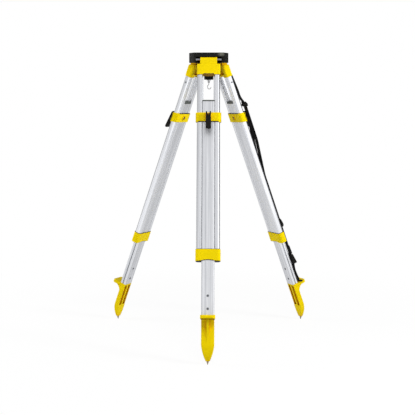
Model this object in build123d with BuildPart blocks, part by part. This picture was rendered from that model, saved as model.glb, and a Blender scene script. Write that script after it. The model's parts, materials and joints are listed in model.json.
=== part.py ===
from build123d import *
import os
from math import cos, radians, sin

# Surveying tripod, standing with its legs spread, in millimetres.
# The origin is the centre of the head's top face, +Z is up, and the front leg points along -Y.
# A leg is drawn upright in its own frame: its hinge axis along X at the origin, -Y outwards, +Z up.
# A "drop" is a distance down the leg from the hinge axis.

# Fits
RUNNING_FIT = 0.05
SLIDE_FIT = 0.4
SEAT_FIT = 0.1
STOP_GAP = 0.3

# Head casting
HEAD_SIDE = 114.0
HEAD_APOTHEM = 53.7
HEAD_HEIGHT = 38.0
RIM_HEIGHT = 15.5
POST_DEPTH = 10.0
RIB_WIDTH = 14.0
BORE_RADIUS = 22.0
BOSS_WALL = 7.0
LIP_WIDTH = 2.0
LIP_HEIGHT = 4.0
HEAD_CHAMFER = 1.0
POST_CHAMFER = 1.5

# Leg hinge
HINGE_RADIUS = 44.0
HINGE_CLEARANCE = 0.5
HINGE_PIN_RADIUS = 5.0
PIN_END_COVER = 4.0
LEG_LEAN = 21.5
LEGS = ("front", "right", "left")
POST_BEARING = -30

# Fixing screw, its guide bush, knob and plumb hook
SCREW_RADIUS = 7.9375
SCREW_TOP_DROP = 1.0
SCREW_EXPOSED = 15.0
SCREW_COLLAR_WIDTH = 3.0
SCREW_COLLAR_HEIGHT = 3.0
SCREW_CHAMFER = 1.2
SCREW_LIFT = 15.5
BUSH_FLANGE_WIDTH = 7.0
BUSH_FLANGE_HEIGHT = 4.0
CIRCLIP_THICKNESS = 1.5
CIRCLIP_SEAT = 1.1
CIRCLIP_OPENING = 10.0
KNOB_RADIUS = 18.0
KNOB_HEIGHT = 15.0
KNOB_HUB_RADIUS = 12.0
KNOB_HUB_HEIGHT = 27.4
KNOB_FLUTES = 12
KNOB_FLUTE_RADIUS = 2.6
KNOB_FLOOR = 5.0
KNOB_CHAMFER = 1.2
CLEVIS_RADIUS = 8.0
CLEVIS_BASE = 3.0
CLEVIS_EAR_WIDTH = 6.0
CLEVIS_EAR_THICKNESS = 2.5
CLEVIS_PIN_RADIUS = 1.7
HOOK_WIRE_RADIUS = 1.3
HOOK_STEM = 11.0
HOOK_JOG = 4.5
HOOK_BEND_RADIUS = 6.4
HOOK_POINT = 0.8

# Inner tube
TUBE_WIDTH = 46.5
TUBE_DEPTH = 24.6
TUBE_CORNER = 2.5
TUBE_WALL = 1.6
GROOVE_DEPTH = 5.4
GROOVE_WIDTH = 3.8
TUBE_TOP_DROP = 175.5
TUBE_LENGTH = 805.5
PLUG_CAP = 5.5
PLUG_INSERT = 16.0
PLUG_CHAMFER = 1.0

# Rails
RAIL_WIDTH = 19.0
RAIL_PROUD = 0.4
RAIL_CORNER = 9.0
RAIL_WALL = 1.8
RAIL_GAP = 0.75
LIP_CLEARANCE = 1.35
RAIL_SCREW_BELOW = 24.5
RAIL_SCREW_RADIUS = 2.3
RAIL_SCREW_HEAD = 4.0
RAIL_SCREW_HEAD_HEIGHT = 1.8
RAIL_SCREW_LENGTH = 14.0
RAIL_PLUG_CAP = 2.5
RAIL_PLUG_INSERT = 14.0

# Hinge bracket
TONGUE_WIDTH = 64.0
TONGUE_BARREL_RADIUS = 9.0
TONGUE_FACE = 13.0
TONGUE_HEEL = 1.8
SHOULDER_DROP = 24.5
BRACKET_HEIGHT = 43.0
BRACKET_LEDGE = 1.0
BRACKET_WALL = 1.5
BRACKET_CORNER = 6.0
BRACKET_TOP_RISE = 10.0
BRACKET_NOTCH_WIDTH = 40.0
BRACKET_NOTCH_HEIGHT = 4.0
BRACKET_POCKET_WIDTH = 58.0
BRACKET_POCKET_HEIGHT = 22.0
BRACKET_POCKET_DEPTH = 12.0
BRACKET_POCKET_CORNER = 5.0
BRACKET_ROUND = 2.5
PRONG_LENGTH = 40.0

# Lower collar
COLLAR_DROP = 741.0
COLLAR_HEIGHT = 42.0
COLLAR_WALL = 2.2
COLLAR_SCALLOP_WIDTH = 56.0
COLLAR_SCALLOP_RISE = 4.5
COLLAR_ROUND = 1.2
RAIL_END_INSET = 1.0

# Clamp on the inner tube
CLAMP_BELOW = 45.5
CLAMP_HEIGHT = 37.0
CLAMP_RISE = 6.0
CLAMP_SIDE_WALL = 4.4
CLAMP_FACE_WALL = 2.5
CLAMP_SLIT = 3.4
CLAMP_SLIT_DEPTH = 4.2
CLAMP_PAD_WIDTH = 36.0
CLAMP_NOTCH_WIDTH = 74.0
CLAMP_NOTCH_HEIGHT = 2.6
CLAMP_ROUND = 1.0
CLAMP_BOSS_RADIUS = 9.6
CLAMP_BOSS_HEIGHT = 3.4
CLAMP_BOSS_RIM = 2.4
CLAMP_BOSS_ROUND = 0.8
CAM_SEAT_WIDTH = 21.0
CAM_SEAT_HEIGHT = 22.0
CAM_SEAT_RAISE = 3.5
LEVER_PIVOT_BELOW = 13.0
LEVER_WIDTH = 19.5
LEVER_FORK_GAP = 0.7
LEVER_CHEEK_RADIUS = 11.0
LEVER_END_RADIUS = 5.5
LEVER_REACH = 58.0
LEVER_FLARE = 14.0
LEVER_FORK_BELOW = 10.0
LEVER_ROUND = 1.5
BOLT_RADIUS = 3.9
BOLT_BAR_RADIUS = 4.0
BOLT_HEAD_WIDTH = 13.0
BOLT_HEAD_HEIGHT = 2.4

# Foot
FOOT_STRAIGHT = 98.0
FOOT_TAPER = 54.5
FOOT_FACE = 8.0
FOOT_SPIGOT = 96.0
SPIGOT_WALL = 4.0
FOOT_NOSE_WIDTH = 10.0
FOOT_NOSE_INWARD = 13.3
FOOT_ARCH_BULGE = 4.0
FOOT_ROUND = 2.0
PEDAL_REACH = 49.0
PEDAL_WIDTH = 56.0
PEDAL_CORNER = 10.0
PEDAL_ROOT_INSET = 2.0
PEDAL_THICKNESS = 13.0
PEDAL_ROUND = 4.0
GUSSET_OUT = 38.0
GUSSET_INSET = 2.5
GUSSET_HEIGHT = 24.0
GUSSET_HOLLOW = 4.0
FOOT_RIB_WIDTH = 9.0
FOOT_RIB_REACH = 40.0
FOOT_RIB_SHORT = 3.0
FOOT_RIB_HOLLOW = 9.0
FOOT_POCKET_WIDTH = 14.0
FOOT_POCKET_TOP = 6.0
FOOT_POCKET_HEIGHT = 104.0
FOOT_POCKET_DEPTH = 13.0
FOOT_POCKET_CORNER = 3.0
POINT_LENGTH = 13.0
POINT_RADIUS = 4.8
POINT_TIP_RADIUS = 1.0
POINT_SHANK_RADIUS = 2.6
POINT_SHANK_LENGTH = 14.0
FOOT_RIVET_RISE = 26.0
FOOT_RIVET_SPACING = 46.0
FOOT_RIVET_RADIUS = 2.8
FOOT_RIVET_HEAD = 4.6
FOOT_RIVET_HEAD_HEIGHT = 2.0

# Carrying strap on the right leg
STRAP_WIDTH = 22.0
STRAP_THICKNESS = 1.4
STRAP_SIDE_GAP = 0.5
STRAP_CLEARANCE = 0.4
STRAP_LANE_GAP = 1.8
ANCHOR_BELOW = 13.5
STRAP_LIFT_OUT = 24.0
STRAP_LIFT_START = 50.0
STRAP_LIFT_RUN = 29.0
STRAP_BOW_OUT = 35.0
STRAP_BOW_RISE = 25.0
STRAP_BOW_RUN = 60.5
STRAP_BOW_FALL = 147.0
STRAP_BEND = 48.0
STRAP_SLACK_RUN = 146.5
STRAP_SLACK_FALL = 142.0
ANCHOR_LENGTH = 20.0
SLIDER_ABOVE = 16.5
SLIDER_LENGTH = 20.0
SLIDER_BAR = 3.2
SLIDER_BODY = 10.0
SLIDER_LOOP_WALL = 1.6
SLIDER_LOOP_LENGTH = 4.0
SLIDER_CHEEK = 2.0
SLIDER_TOP_SLOPE = 6.0
SLIDER_TOP_LENGTH = 9.0
SLIDER_ROUND = 1.4
KEEPER_DROP = 689.0
KEEPER_LENGTH = 34.0
KEEPER_WALL = 1.3
KEEPER_CHEEK = 2.4
KEEPER_FACE = 5.8
KEEPER_TOP_LENGTH = 20.0
KEEPER_END_LENGTH = 4.0
KEEPER_ROUND = 3.0
BUCKLE_ABOVE = 63.0
BUCKLE_LENGTH = 42.0
BUCKLE_CHEEK = 4.0
BUCKLE_FACE = 10.2
BUCKLE_TOP_FACE = 2.4
BUCKLE_ROUND = 1.5
STRAP_TAB_HEIGHT = 26.0
STRAP_TAB_REACH = 18.0

# Places worked out from the sizes above
LEG_TURNS = {leg: 360 / len(LEGS) * place for place, leg in enumerate(LEGS)}
CORNER_COS = cos(radians(30))
HINGE_DROP = RIM_HEIGHT + TONGUE_BARREL_RADIUS + HINGE_CLEARANCE
POST_OUT = HEAD_SIDE / 2 * CORNER_COS + HEAD_APOTHEM / 2
POST_WIDTH = 2 * (HEAD_APOTHEM * CORNER_COS - HEAD_SIDE / 4)
BOSS_RADIUS = BORE_RADIUS + BOSS_WALL
LIP_RADIUS = BORE_RADIUS - LIP_WIDTH
PIN_HALF = (POST_OUT - HINGE_RADIUS / 2) / CORNER_COS - PIN_END_COVER

BUSH_RADIUS = LIP_RADIUS - STOP_GAP
BUSH_TOP = -(SCREW_TOP_DROP + SCREW_EXPOSED)
BUSH_FLANGE_TOP = -(HEAD_HEIGHT + SCREW_LIFT + STOP_GAP)
BUSH_BOTTOM = BUSH_FLANGE_TOP - BUSH_FLANGE_HEIGHT
SCREW_COLLAR_RADIUS = SCREW_RADIUS + SCREW_COLLAR_WIDTH
COUNTERBORE_RADIUS = SCREW_COLLAR_RADIUS + SLIDE_FIT
COUNTERBORE_DEPTH = SCREW_COLLAR_HEIGHT + 2 * STOP_GAP
CIRCLIP_BOTTOM = -(HEAD_HEIGHT - LIP_HEIGHT) + STOP_GAP
KNOB_HUB_TOP = BUSH_BOTTOM - STOP_GAP
KNOB_TOP = KNOB_HUB_TOP - KNOB_HUB_HEIGHT
KNOB_BOTTOM = KNOB_TOP - KNOB_HEIGHT
SCREW_BOTTOM = KNOB_BOTTOM + KNOB_FLOOR
HOOK_EYE_RADIUS = CLEVIS_PIN_RADIUS + SLIDE_FIT + HOOK_WIRE_RADIUS
HOOK_PIVOT_Z = KNOB_BOTTOM - CLEVIS_BASE - HOOK_EYE_RADIUS - HOOK_WIRE_RADIUS - 2 * SLIDE_FIT
CLEVIS_GAP = 2 * (HOOK_WIRE_RADIUS + SLIDE_FIT)

RAIL_DEPTH = TUBE_DEPTH + 2 * RAIL_PROUD
RAIL_LIP = RAIL_GAP + GROOVE_DEPTH - LIP_CLEARANCE
RAIL_INNER = TUBE_WIDTH / 2 + RAIL_GAP
RAIL_CENTRE = RAIL_INNER + RAIL_WIDTH / 2
FRAME_WIDTH = 2 * (RAIL_INNER + RAIL_WIDTH)
BRACKET_WIDTH = FRAME_WIDTH + 2 * BRACKET_LEDGE
BRACKET_DEPTH = RAIL_DEPTH + 2 * BRACKET_WALL
BRACKET_END = SHOULDER_DROP + BRACKET_HEIGHT
RAIL_SCREW_DROP = BRACKET_END + RAIL_SCREW_BELOW
COLLAR_END = COLLAR_DROP + COLLAR_HEIGHT
COLLAR_DEPTH = RAIL_DEPTH + 2 * (SEAT_FIT + COLLAR_WALL)
COLLAR_WIDTH = FRAME_WIDTH + 2 * (SEAT_FIT + COLLAR_WALL)
RAIL_END = COLLAR_END - RAIL_END_INSET
RAIL_LENGTH = RAIL_END - BRACKET_END
LIP_THICKNESS = GROOVE_WIDTH - 2 * SLIDE_FIT

CLAMP_DROP = TUBE_TOP_DROP + CLAMP_BELOW
CLAMP_END = CLAMP_DROP + CLAMP_HEIGHT
CLAMP_BORE_WIDTH = FRAME_WIDTH + 2 * SLIDE_FIT
CLAMP_BORE_DEPTH = RAIL_DEPTH + 2 * SLIDE_FIT
CLAMP_WIDTH = CLAMP_BORE_WIDTH + 2 * CLAMP_SIDE_WALL
CLAMP_DEPTH = CLAMP_BORE_DEPTH + 2 * CLAMP_FACE_WALL
CLAMP_CORNER = RAIL_CORNER + SLIDE_FIT
SLIT_FRONT = -CLAMP_DEPTH / 2 + CLAMP_SLIT_DEPTH
SLIT_BACK = SLIT_FRONT + CLAMP_SLIT
CLAMP_PAD = (CLAMP_BORE_DEPTH - TUBE_DEPTH) / 2
CAM_SEAT_FACE = -(CLAMP_DEPTH / 2 + CAM_SEAT_RAISE)
LEVER_PIVOT_OUT = SLIDE_FIT + LEVER_CHEEK_RADIUS - CAM_SEAT_FACE
LEVER_PIVOT_DROP = CLAMP_DROP + LEVER_PIVOT_BELOW
LEVER_FORK = 2 * (BOLT_RADIUS + LEVER_FORK_GAP)
LEVER_END_OUT = LEVER_PIVOT_OUT + LEVER_REACH * sin(radians(LEVER_FLARE))
LEVER_END_DROP = LEVER_PIVOT_DROP + LEVER_REACH * cos(radians(LEVER_FLARE))

FOOT_DROP = TUBE_TOP_DROP + TUBE_LENGTH
FOOT_BACK = TUBE_DEPTH / 2
STRAIGHT_DROP = FOOT_DROP + FOOT_STRAIGHT
NOSE_DROP = STRAIGHT_DROP + FOOT_TAPER
RIVET_DROP = FOOT_DROP - FOOT_RIVET_RISE
RIVET_PLACES = ((0, -RIVET_DROP), (0, FOOT_RIVET_SPACING - RIVET_DROP))
LEAN_SIN = sin(radians(LEG_LEAN))
LEAN_COS = cos(radians(LEG_LEAN))
SPIGOT_WIDTH = TUBE_WIDTH - 2 * (GROOVE_DEPTH + TUBE_WALL) - 2 * SEAT_FIT
SPIGOT_DEPTH = TUBE_DEPTH - 2 * TUBE_WALL - 2 * SEAT_FIT


def section(drop):
    """The plane across the leg at a drop below its hinge."""
    return Plane.XY.offset(-drop)


STRAP_SIDE = (CAM_SEAT_WIDTH + STRAP_WIDTH) / 2 + STRAP_SIDE_GAP
STRAP_EDGE = Plane.YZ.offset(-STRAP_SIDE - STRAP_WIDTH / 2)
STRAP_UPPER_OUT = CLAMP_DEPTH / 2 + STRAP_CLEARANCE
STRAP_UPPER_START = SHOULDER_DROP + ANCHOR_BELOW
SLIDER_DROP = CLAMP_DROP - SLIDER_ABOVE - SLIDER_LENGTH
STRAP_LOWER_OUT = STRAP_UPPER_OUT + STRAP_THICKNESS + STRAP_LANE_GAP
STRAP_UPPER_END = COLLAR_DROP + (COLLAR_HEIGHT + ANCHOR_LENGTH) / 2
STRAP_LOWER_START = SLIDER_DROP + SLIDER_LENGTH - SLIDER_BAR
STRAP_LOWER_END = FOOT_DROP - 2 * KEEPER_WALL - SEAT_FIT
STRAP_BACK = STRAP_LOWER_OUT - SEAT_FIT
STRAP_FRONT = STRAP_LOWER_OUT + STRAP_THICKNESS + SEAT_FIT
SLIDER_LOOP_BACK = STRAP_UPPER_OUT - SLIDE_FIT
SLIDER_INNER = STRAP_BOW_OUT + 1.5 * STRAP_THICKNESS + 4 * SLIDE_FIT
SLIDER_OUT = SLIDER_INNER + SLIDER_BAR
SLIDER_BACK = SLIDER_OUT - SLIDER_BODY
BUCKLE_DROP = FOOT_DROP - STRAP_TAB_HEIGHT - BUCKLE_ABOVE - BUCKLE_LENGTH


def draw_tube_outline():
    """The inner tube's outer section, with the grooves that run on the rails' lips."""
    RectangleRounded(TUBE_WIDTH, TUBE_DEPTH, TUBE_CORNER)
    with GridLocations(TUBE_WIDTH - GROOVE_DEPTH, 0, 2, 1):
        Rectangle(GROOVE_DEPTH, GROOVE_WIDTH, mode=Mode.SUBTRACT)


def draw_tube_bore(inset):
    """The inner tube's hollow, drawn in by an inset on every side."""
    Rectangle(TUBE_WIDTH - 2 * (TUBE_WALL + inset), TUBE_DEPTH - 2 * (TUBE_WALL + inset))
    with GridLocations(TUBE_WIDTH - GROOVE_DEPTH, 0, 2, 1):
        web = 2 * (TUBE_WALL + inset)
        Rectangle(GROOVE_DEPTH + web, GROOVE_WIDTH + web, mode=Mode.SUBTRACT)


def draw_rail_body(inset):
    """One rail's rounded section, drawn in by an inset on every side."""
    with Locations((RAIL_CENTRE, 0)):
        Rectangle(RAIL_WIDTH - 2 * inset, RAIL_DEPTH - 2 * inset)
    fillet(vertices().group_by(Axis.X)[-1], RAIL_CORNER - inset)


# Head casting: flat top, a rim, three corner posts, a boss and the ribs between
head_corners = []
for turn in LEG_TURNS.values():
    middle = Vector(0, -HEAD_APOTHEM).rotate(Axis.Z, turn)
    along = Vector(HEAD_SIDE / 2, 0).rotate(Axis.Z, turn)
    head_corners += [middle - along, middle + along]
hinge_planes = [
    Plane(
        origin=Vector(0, -HINGE_RADIUS, -HINGE_DROP).rotate(Axis.Z, turn),
        z_dir=Vector(1, 0, 0).rotate(Axis.Z, turn),
    )
    for turn in LEG_TURNS.values()
]
with BuildPart() as head_plate:
    with BuildSketch():
        with BuildLine():
            Polyline(*head_corners, close=True)
        make_face()
    extrude(amount=-RIM_HEIGHT)
    chamfer(edges().group_by(Axis.Z)[-1], HEAD_CHAMFER)
    with BuildSketch(Plane.XY.offset(-RIM_HEIGHT)):
        with PolarLocations(POST_OUT - POST_DEPTH / 2, len(LEG_TURNS), start_angle=POST_BEARING):
            Rectangle(POST_DEPTH, POST_WIDTH)
        with PolarLocations(POST_OUT / 2, len(LEG_TURNS), start_angle=POST_BEARING):
            Rectangle(POST_OUT - POST_DEPTH, RIB_WIDTH)
        Circle(BOSS_RADIUS)
    extrude(amount=-(HEAD_HEIGHT - RIM_HEIGHT))
    chamfer(edges().group_by(Axis.Z)[0], POST_CHAMFER)
    with BuildSketch():
        Circle(LIP_RADIUS)
    extrude(amount=-HEAD_HEIGHT, mode=Mode.SUBTRACT)
    with BuildSketch():
        Circle(BORE_RADIUS)
    extrude(amount=-(HEAD_HEIGHT - LIP_HEIGHT), mode=Mode.SUBTRACT)
    with BuildSketch(*hinge_planes):
        Circle(HINGE_PIN_RADIUS + RUNNING_FIT)
    extrude(amount=PIN_HALF + SEAT_FIT, both=True, mode=Mode.SUBTRACT)

# Hinge pins, one through each pair of posts
with BuildPart() as hinge_pins:
    with BuildSketch(*hinge_planes):
        Circle(HINGE_PIN_RADIUS)
    extrude(amount=PIN_HALF, both=True)

# Guide bush that slides up and down in the head's bore
with BuildPart() as guide_bush:
    with BuildSketch(Plane.XY.offset(BUSH_BOTTOM)):
        Circle(BUSH_RADIUS)
    extrude(amount=BUSH_TOP - BUSH_BOTTOM)
    with BuildSketch(Plane.XY.offset(BUSH_BOTTOM)):
        Circle(BUSH_RADIUS + BUSH_FLANGE_WIDTH)
    extrude(amount=BUSH_FLANGE_HEIGHT)
    with BuildSketch(Plane.XY.offset(BUSH_BOTTOM)):
        Circle(SCREW_RADIUS + RUNNING_FIT)
    extrude(amount=BUSH_TOP - BUSH_BOTTOM, mode=Mode.SUBTRACT)
    with BuildSketch(Plane.XY.offset(BUSH_TOP)):
        Circle(COUNTERBORE_RADIUS)
    extrude(amount=-COUNTERBORE_DEPTH, mode=Mode.SUBTRACT)
    with BuildSketch(Plane.XY.offset(CIRCLIP_BOTTOM - SEAT_FIT)):
        Circle(BUSH_RADIUS)
        Circle(BUSH_RADIUS - CIRCLIP_SEAT, mode=Mode.SUBTRACT)
    extrude(amount=CIRCLIP_THICKNESS + 2 * SEAT_FIT, mode=Mode.SUBTRACT)

# Circlip in the bush's groove, which stops the bush on the lip of the bore
with BuildPart() as bush_circlip:
    with BuildSketch(Plane.XY.offset(CIRCLIP_BOTTOM)):
        Circle(BORE_RADIUS - SLIDE_FIT)
        Circle(BUSH_RADIUS - CIRCLIP_SEAT + SEAT_FIT, mode=Mode.SUBTRACT)
        with Locations((0, -BORE_RADIUS)):
            Rectangle(CIRCLIP_OPENING, BORE_RADIUS, mode=Mode.SUBTRACT)
    extrude(amount=CIRCLIP_THICKNESS)

# Fixing screw with the collar that hangs in the bush
with BuildPart() as fixing_screw:
    with BuildSketch(Plane.XY.offset(SCREW_BOTTOM)):
        Circle(SCREW_RADIUS)
    extrude(amount=-SCREW_TOP_DROP - SCREW_BOTTOM)
    chamfer(edges().group_by(Axis.Z)[-1], SCREW_CHAMFER)
    with BuildSketch(Plane.XY.offset(BUSH_TOP - COUNTERBORE_DEPTH + STOP_GAP)):
        Circle(SCREW_COLLAR_RADIUS)
    extrude(amount=SCREW_COLLAR_HEIGHT)

# Fluted knob and its hub
with BuildPart() as fixing_knob:
    with BuildSketch(Plane.XY.offset(KNOB_BOTTOM)):
        Circle(KNOB_RADIUS)
        with PolarLocations(KNOB_RADIUS, KNOB_FLUTES):
            Circle(KNOB_FLUTE_RADIUS, mode=Mode.SUBTRACT)
    extrude(amount=KNOB_HEIGHT)
    chamfer(edges().group_by(Axis.Z)[0] + edges().group_by(Axis.Z)[-1], KNOB_CHAMFER)
    with BuildSketch(Plane.XY.offset(KNOB_TOP)):
        Circle(KNOB_HUB_RADIUS)
    extrude(amount=KNOB_HUB_HEIGHT)
    with BuildSketch(Plane.XY.offset(SCREW_BOTTOM)):
        Circle(SCREW_RADIUS + RUNNING_FIT)
    extrude(amount=KNOB_HUB_TOP - SCREW_BOTTOM, mode=Mode.SUBTRACT)

# Clevis under the knob, with its cross pin
with BuildPart() as hook_clevis:
    with BuildSketch(Plane.XY.offset(KNOB_BOTTOM)):
        Circle(CLEVIS_RADIUS)
    extrude(amount=-CLEVIS_BASE)
    with BuildSketch(Plane.XZ.offset(-CLEVIS_GAP / 2 - CLEVIS_EAR_THICKNESS)):
        with Locations((0, HOOK_PIVOT_Z)):
            Circle(CLEVIS_EAR_WIDTH / 2)
        with Locations((0, (HOOK_PIVOT_Z + KNOB_BOTTOM - CLEVIS_BASE) / 2)):
            Rectangle(CLEVIS_EAR_WIDTH, KNOB_BOTTOM - CLEVIS_BASE - HOOK_PIVOT_Z)
    extrude(amount=CLEVIS_EAR_THICKNESS)
    mirror(about=Plane.XZ)
    with BuildSketch(Plane.XZ):
        with Locations((0, HOOK_PIVOT_Z)):
            Circle(CLEVIS_PIN_RADIUS)
    extrude(amount=CLEVIS_GAP / 2, both=True)

# Plumb hook, bent from wire, opening to the right
with BuildPart() as plumb_hook:
    hook_stem_end = HOOK_PIVOT_Z - HOOK_EYE_RADIUS - HOOK_STEM
    hook_bottom = hook_stem_end - 2 * HOOK_BEND_RADIUS
    with BuildLine(Plane.XZ) as hook_line:
        FilletPolyline(
            (0, HOOK_PIVOT_Z - HOOK_EYE_RADIUS),
            (0, hook_stem_end + HOOK_JOG),
            (-HOOK_JOG, hook_stem_end),
            (-HOOK_JOG, hook_bottom),
            (2 * HOOK_BEND_RADIUS - HOOK_JOG, hook_bottom),
            (2 * HOOK_BEND_RADIUS - HOOK_JOG, hook_bottom + HOOK_BEND_RADIUS + HOOK_POINT),
            radius=[HOOK_JOG, HOOK_JOG, HOOK_BEND_RADIUS - SEAT_FIT, HOOK_BEND_RADIUS - SEAT_FIT],
        )
    with BuildSketch(Plane(origin=hook_line.line @ 0, z_dir=hook_line.line % 0)):
        Circle(HOOK_WIRE_RADIUS)
    sweep()
    with Locations(Location((0, 0, HOOK_PIVOT_Z), (90, 0, 0))):
        Torus(HOOK_EYE_RADIUS, HOOK_WIRE_RADIUS)

# Hinge bracket: tongue, shoulders that lie level on the standing leg, and prongs that enter the rails
with BuildPart() as bracket:
    with BuildSketch(section(BRACKET_END)):
        RectangleRounded(BRACKET_WIDTH, BRACKET_DEPTH, BRACKET_CORNER)
    extrude(amount=BRACKET_HEIGHT + BRACKET_TOP_RISE)
    with BuildSketch(Plane.YZ):
        with BuildLine():
            Polyline(
                (-BRACKET_DEPTH / 2, -SHOULDER_DROP),
                (BRACKET_DEPTH / 2, -SHOULDER_DROP + BRACKET_TOP_RISE),
                (-BRACKET_DEPTH / 2, -SHOULDER_DROP + BRACKET_TOP_RISE),
                close=True,
            )
        make_face()
    extrude(amount=BRACKET_WIDTH / 2, both=True, mode=Mode.SUBTRACT)
    fillet(faces().sort_by(Axis.Z)[-1].edges(), BRACKET_ROUND)
    with BuildSketch(Plane.XZ.offset(-BRACKET_DEPTH / 2)):
        with Locations((0, -SHOULDER_DROP - BRACKET_HEIGHT / 2)):
            RectangleRounded(BRACKET_POCKET_WIDTH, BRACKET_POCKET_HEIGHT, BRACKET_POCKET_CORNER)
    extrude(amount=BRACKET_POCKET_DEPTH, mode=Mode.SUBTRACT)
    with BuildSketch(Plane.YZ):
        Circle(TONGUE_BARREL_RADIUS)
        tongue_root = SHOULDER_DROP + 2 * BRACKET_ROUND
        with Locations((-TONGUE_FACE, TONGUE_HEEL)):
            Rectangle(
                TONGUE_FACE + TONGUE_BARREL_RADIUS,
                TONGUE_HEEL + tongue_root,
                align=(Align.MIN, Align.MAX),
            )
    extrude(amount=TONGUE_WIDTH / 2, both=True)
    with BuildSketch(section(BRACKET_END)):
        Rectangle(BRACKET_NOTCH_WIDTH, BRACKET_DEPTH)
    extrude(amount=BRACKET_NOTCH_HEIGHT, mode=Mode.SUBTRACT)
    with BuildSketch(section(BRACKET_END)):
        draw_rail_body(RAIL_WALL + SLIDE_FIT)
        mirror(about=Plane.YZ)
    extrude(amount=-PRONG_LENGTH)
    with BuildSketch(Plane.YZ):
        Circle(HINGE_PIN_RADIUS + RUNNING_FIT)
    extrude(amount=TONGUE_WIDTH / 2, both=True, mode=Mode.SUBTRACT)
    with BuildSketch(Plane.YZ):
        with Locations((0, -RAIL_SCREW_DROP)):
            Circle(RAIL_SCREW_RADIUS + RUNNING_FIT)
    extrude(amount=FRAME_WIDTH / 2, both=True, mode=Mode.SUBTRACT)

# Right rail: a hollow rounded section with the lip that guides the inner tube
with BuildPart() as rail_right:
    with BuildSketch(section(RAIL_END)):
        draw_rail_body(0)
        with Locations((RAIL_INNER - RAIL_LIP / 2, 0)):
            Rectangle(RAIL_LIP, LIP_THICKNESS)
    extrude(amount=RAIL_LENGTH)
    with BuildSketch(section(RAIL_END)):
        draw_rail_body(RAIL_WALL)
    extrude(amount=RAIL_LENGTH, mode=Mode.SUBTRACT)
    with BuildSketch(Plane.YZ.offset(RAIL_CENTRE)):
        with Locations((0, -RAIL_SCREW_DROP)):
            Circle(RAIL_SCREW_RADIUS + RUNNING_FIT)
    extrude(amount=RAIL_WIDTH, mode=Mode.SUBTRACT)

# Left rail: the right one mirrored
with BuildPart() as rail_left:
    mirror(rail_right.part, about=Plane.YZ)

# Screws that hold the rails on the bracket's prongs
with BuildPart() as rail_screws:
    with BuildSketch(Plane.YZ.offset(FRAME_WIDTH / 2)):
        with Locations((0, -RAIL_SCREW_DROP)):
            Circle(RAIL_SCREW_HEAD)
    extrude(amount=RAIL_SCREW_HEAD_HEIGHT)
    fillet(edges().group_by(Axis.X)[-1], RAIL_SCREW_HEAD_HEIGHT / 2)
    with BuildSketch(Plane.YZ.offset(FRAME_WIDTH / 2)):
        with Locations((0, -RAIL_SCREW_DROP)):
            Circle(RAIL_SCREW_RADIUS)
    extrude(amount=-RAIL_SCREW_LENGTH)
    mirror(about=Plane.YZ)

# Plugs that close the rails' lower ends
with BuildPart() as rail_plugs:
    with BuildSketch(section(RAIL_END)):
        draw_rail_body(0)
    extrude(amount=-RAIL_PLUG_CAP)
    fillet(edges().group_by(Axis.Z)[0], RAIL_WALL)
    with BuildSketch(section(RAIL_END)):
        draw_rail_body(RAIL_WALL + SEAT_FIT)
    extrude(amount=RAIL_PLUG_INSERT)
    mirror(about=Plane.YZ)

# Lower collar, which ties the rails together round the inner tube
with BuildPart() as lower_collar:
    with BuildSketch(section(COLLAR_END)):
        RectangleRounded(COLLAR_WIDTH, COLLAR_DEPTH, RAIL_CORNER + SEAT_FIT + COLLAR_WALL)
    extrude(amount=COLLAR_HEIGHT)
    fillet(edges().group_by(Axis.Z)[0] + edges().group_by(Axis.Z)[-1], COLLAR_ROUND)
    with BuildSketch(section(COLLAR_END)):
        RectangleRounded(FRAME_WIDTH + 2 * SEAT_FIT, RAIL_DEPTH + 2 * SEAT_FIT, RAIL_CORNER + SEAT_FIT)
    extrude(amount=COLLAR_HEIGHT, mode=Mode.SUBTRACT)
    with BuildSketch(Plane.XZ):
        with BuildLine():
            ThreePointArc(
                (-COLLAR_SCALLOP_WIDTH / 2, -COLLAR_END),
                (0, -COLLAR_END + COLLAR_SCALLOP_RISE),
                (COLLAR_SCALLOP_WIDTH / 2, -COLLAR_END),
            )
            Line((COLLAR_SCALLOP_WIDTH / 2, -COLLAR_END), (-COLLAR_SCALLOP_WIDTH / 2, -COLLAR_END))
        make_face()
    extrude(amount=COLLAR_DEPTH, both=True, mode=Mode.SUBTRACT)

# Inner tube, grooved along both edges and hollow
with BuildPart() as inner_tube:
    with BuildSketch(section(FOOT_DROP)):
        draw_tube_outline()
    extrude(amount=TUBE_LENGTH)
    with BuildSketch(section(FOOT_DROP)):
        draw_tube_bore(0)
    extrude(amount=TUBE_LENGTH, mode=Mode.SUBTRACT)
    with BuildSketch(Plane.XZ):
        with Locations((0, -LEVER_PIVOT_DROP)):
            Circle(BOLT_RADIUS + SEAT_FIT)
        with Locations(*RIVET_PLACES):
            Circle(FOOT_RIVET_RADIUS + SEAT_FIT)
    extrude(amount=TUBE_DEPTH, both=True, mode=Mode.SUBTRACT)

# Black plug in the top of the inner tube
with BuildPart() as tube_plug:
    with BuildSketch(section(TUBE_TOP_DROP)):
        draw_tube_outline()
    extrude(amount=PLUG_CAP)
    chamfer(edges().group_by(Axis.Z)[-1], PLUG_CHAMFER)
    with BuildSketch(section(TUBE_TOP_DROP)):
        draw_tube_bore(SEAT_FIT)
    extrude(amount=-PLUG_INSERT)

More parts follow.
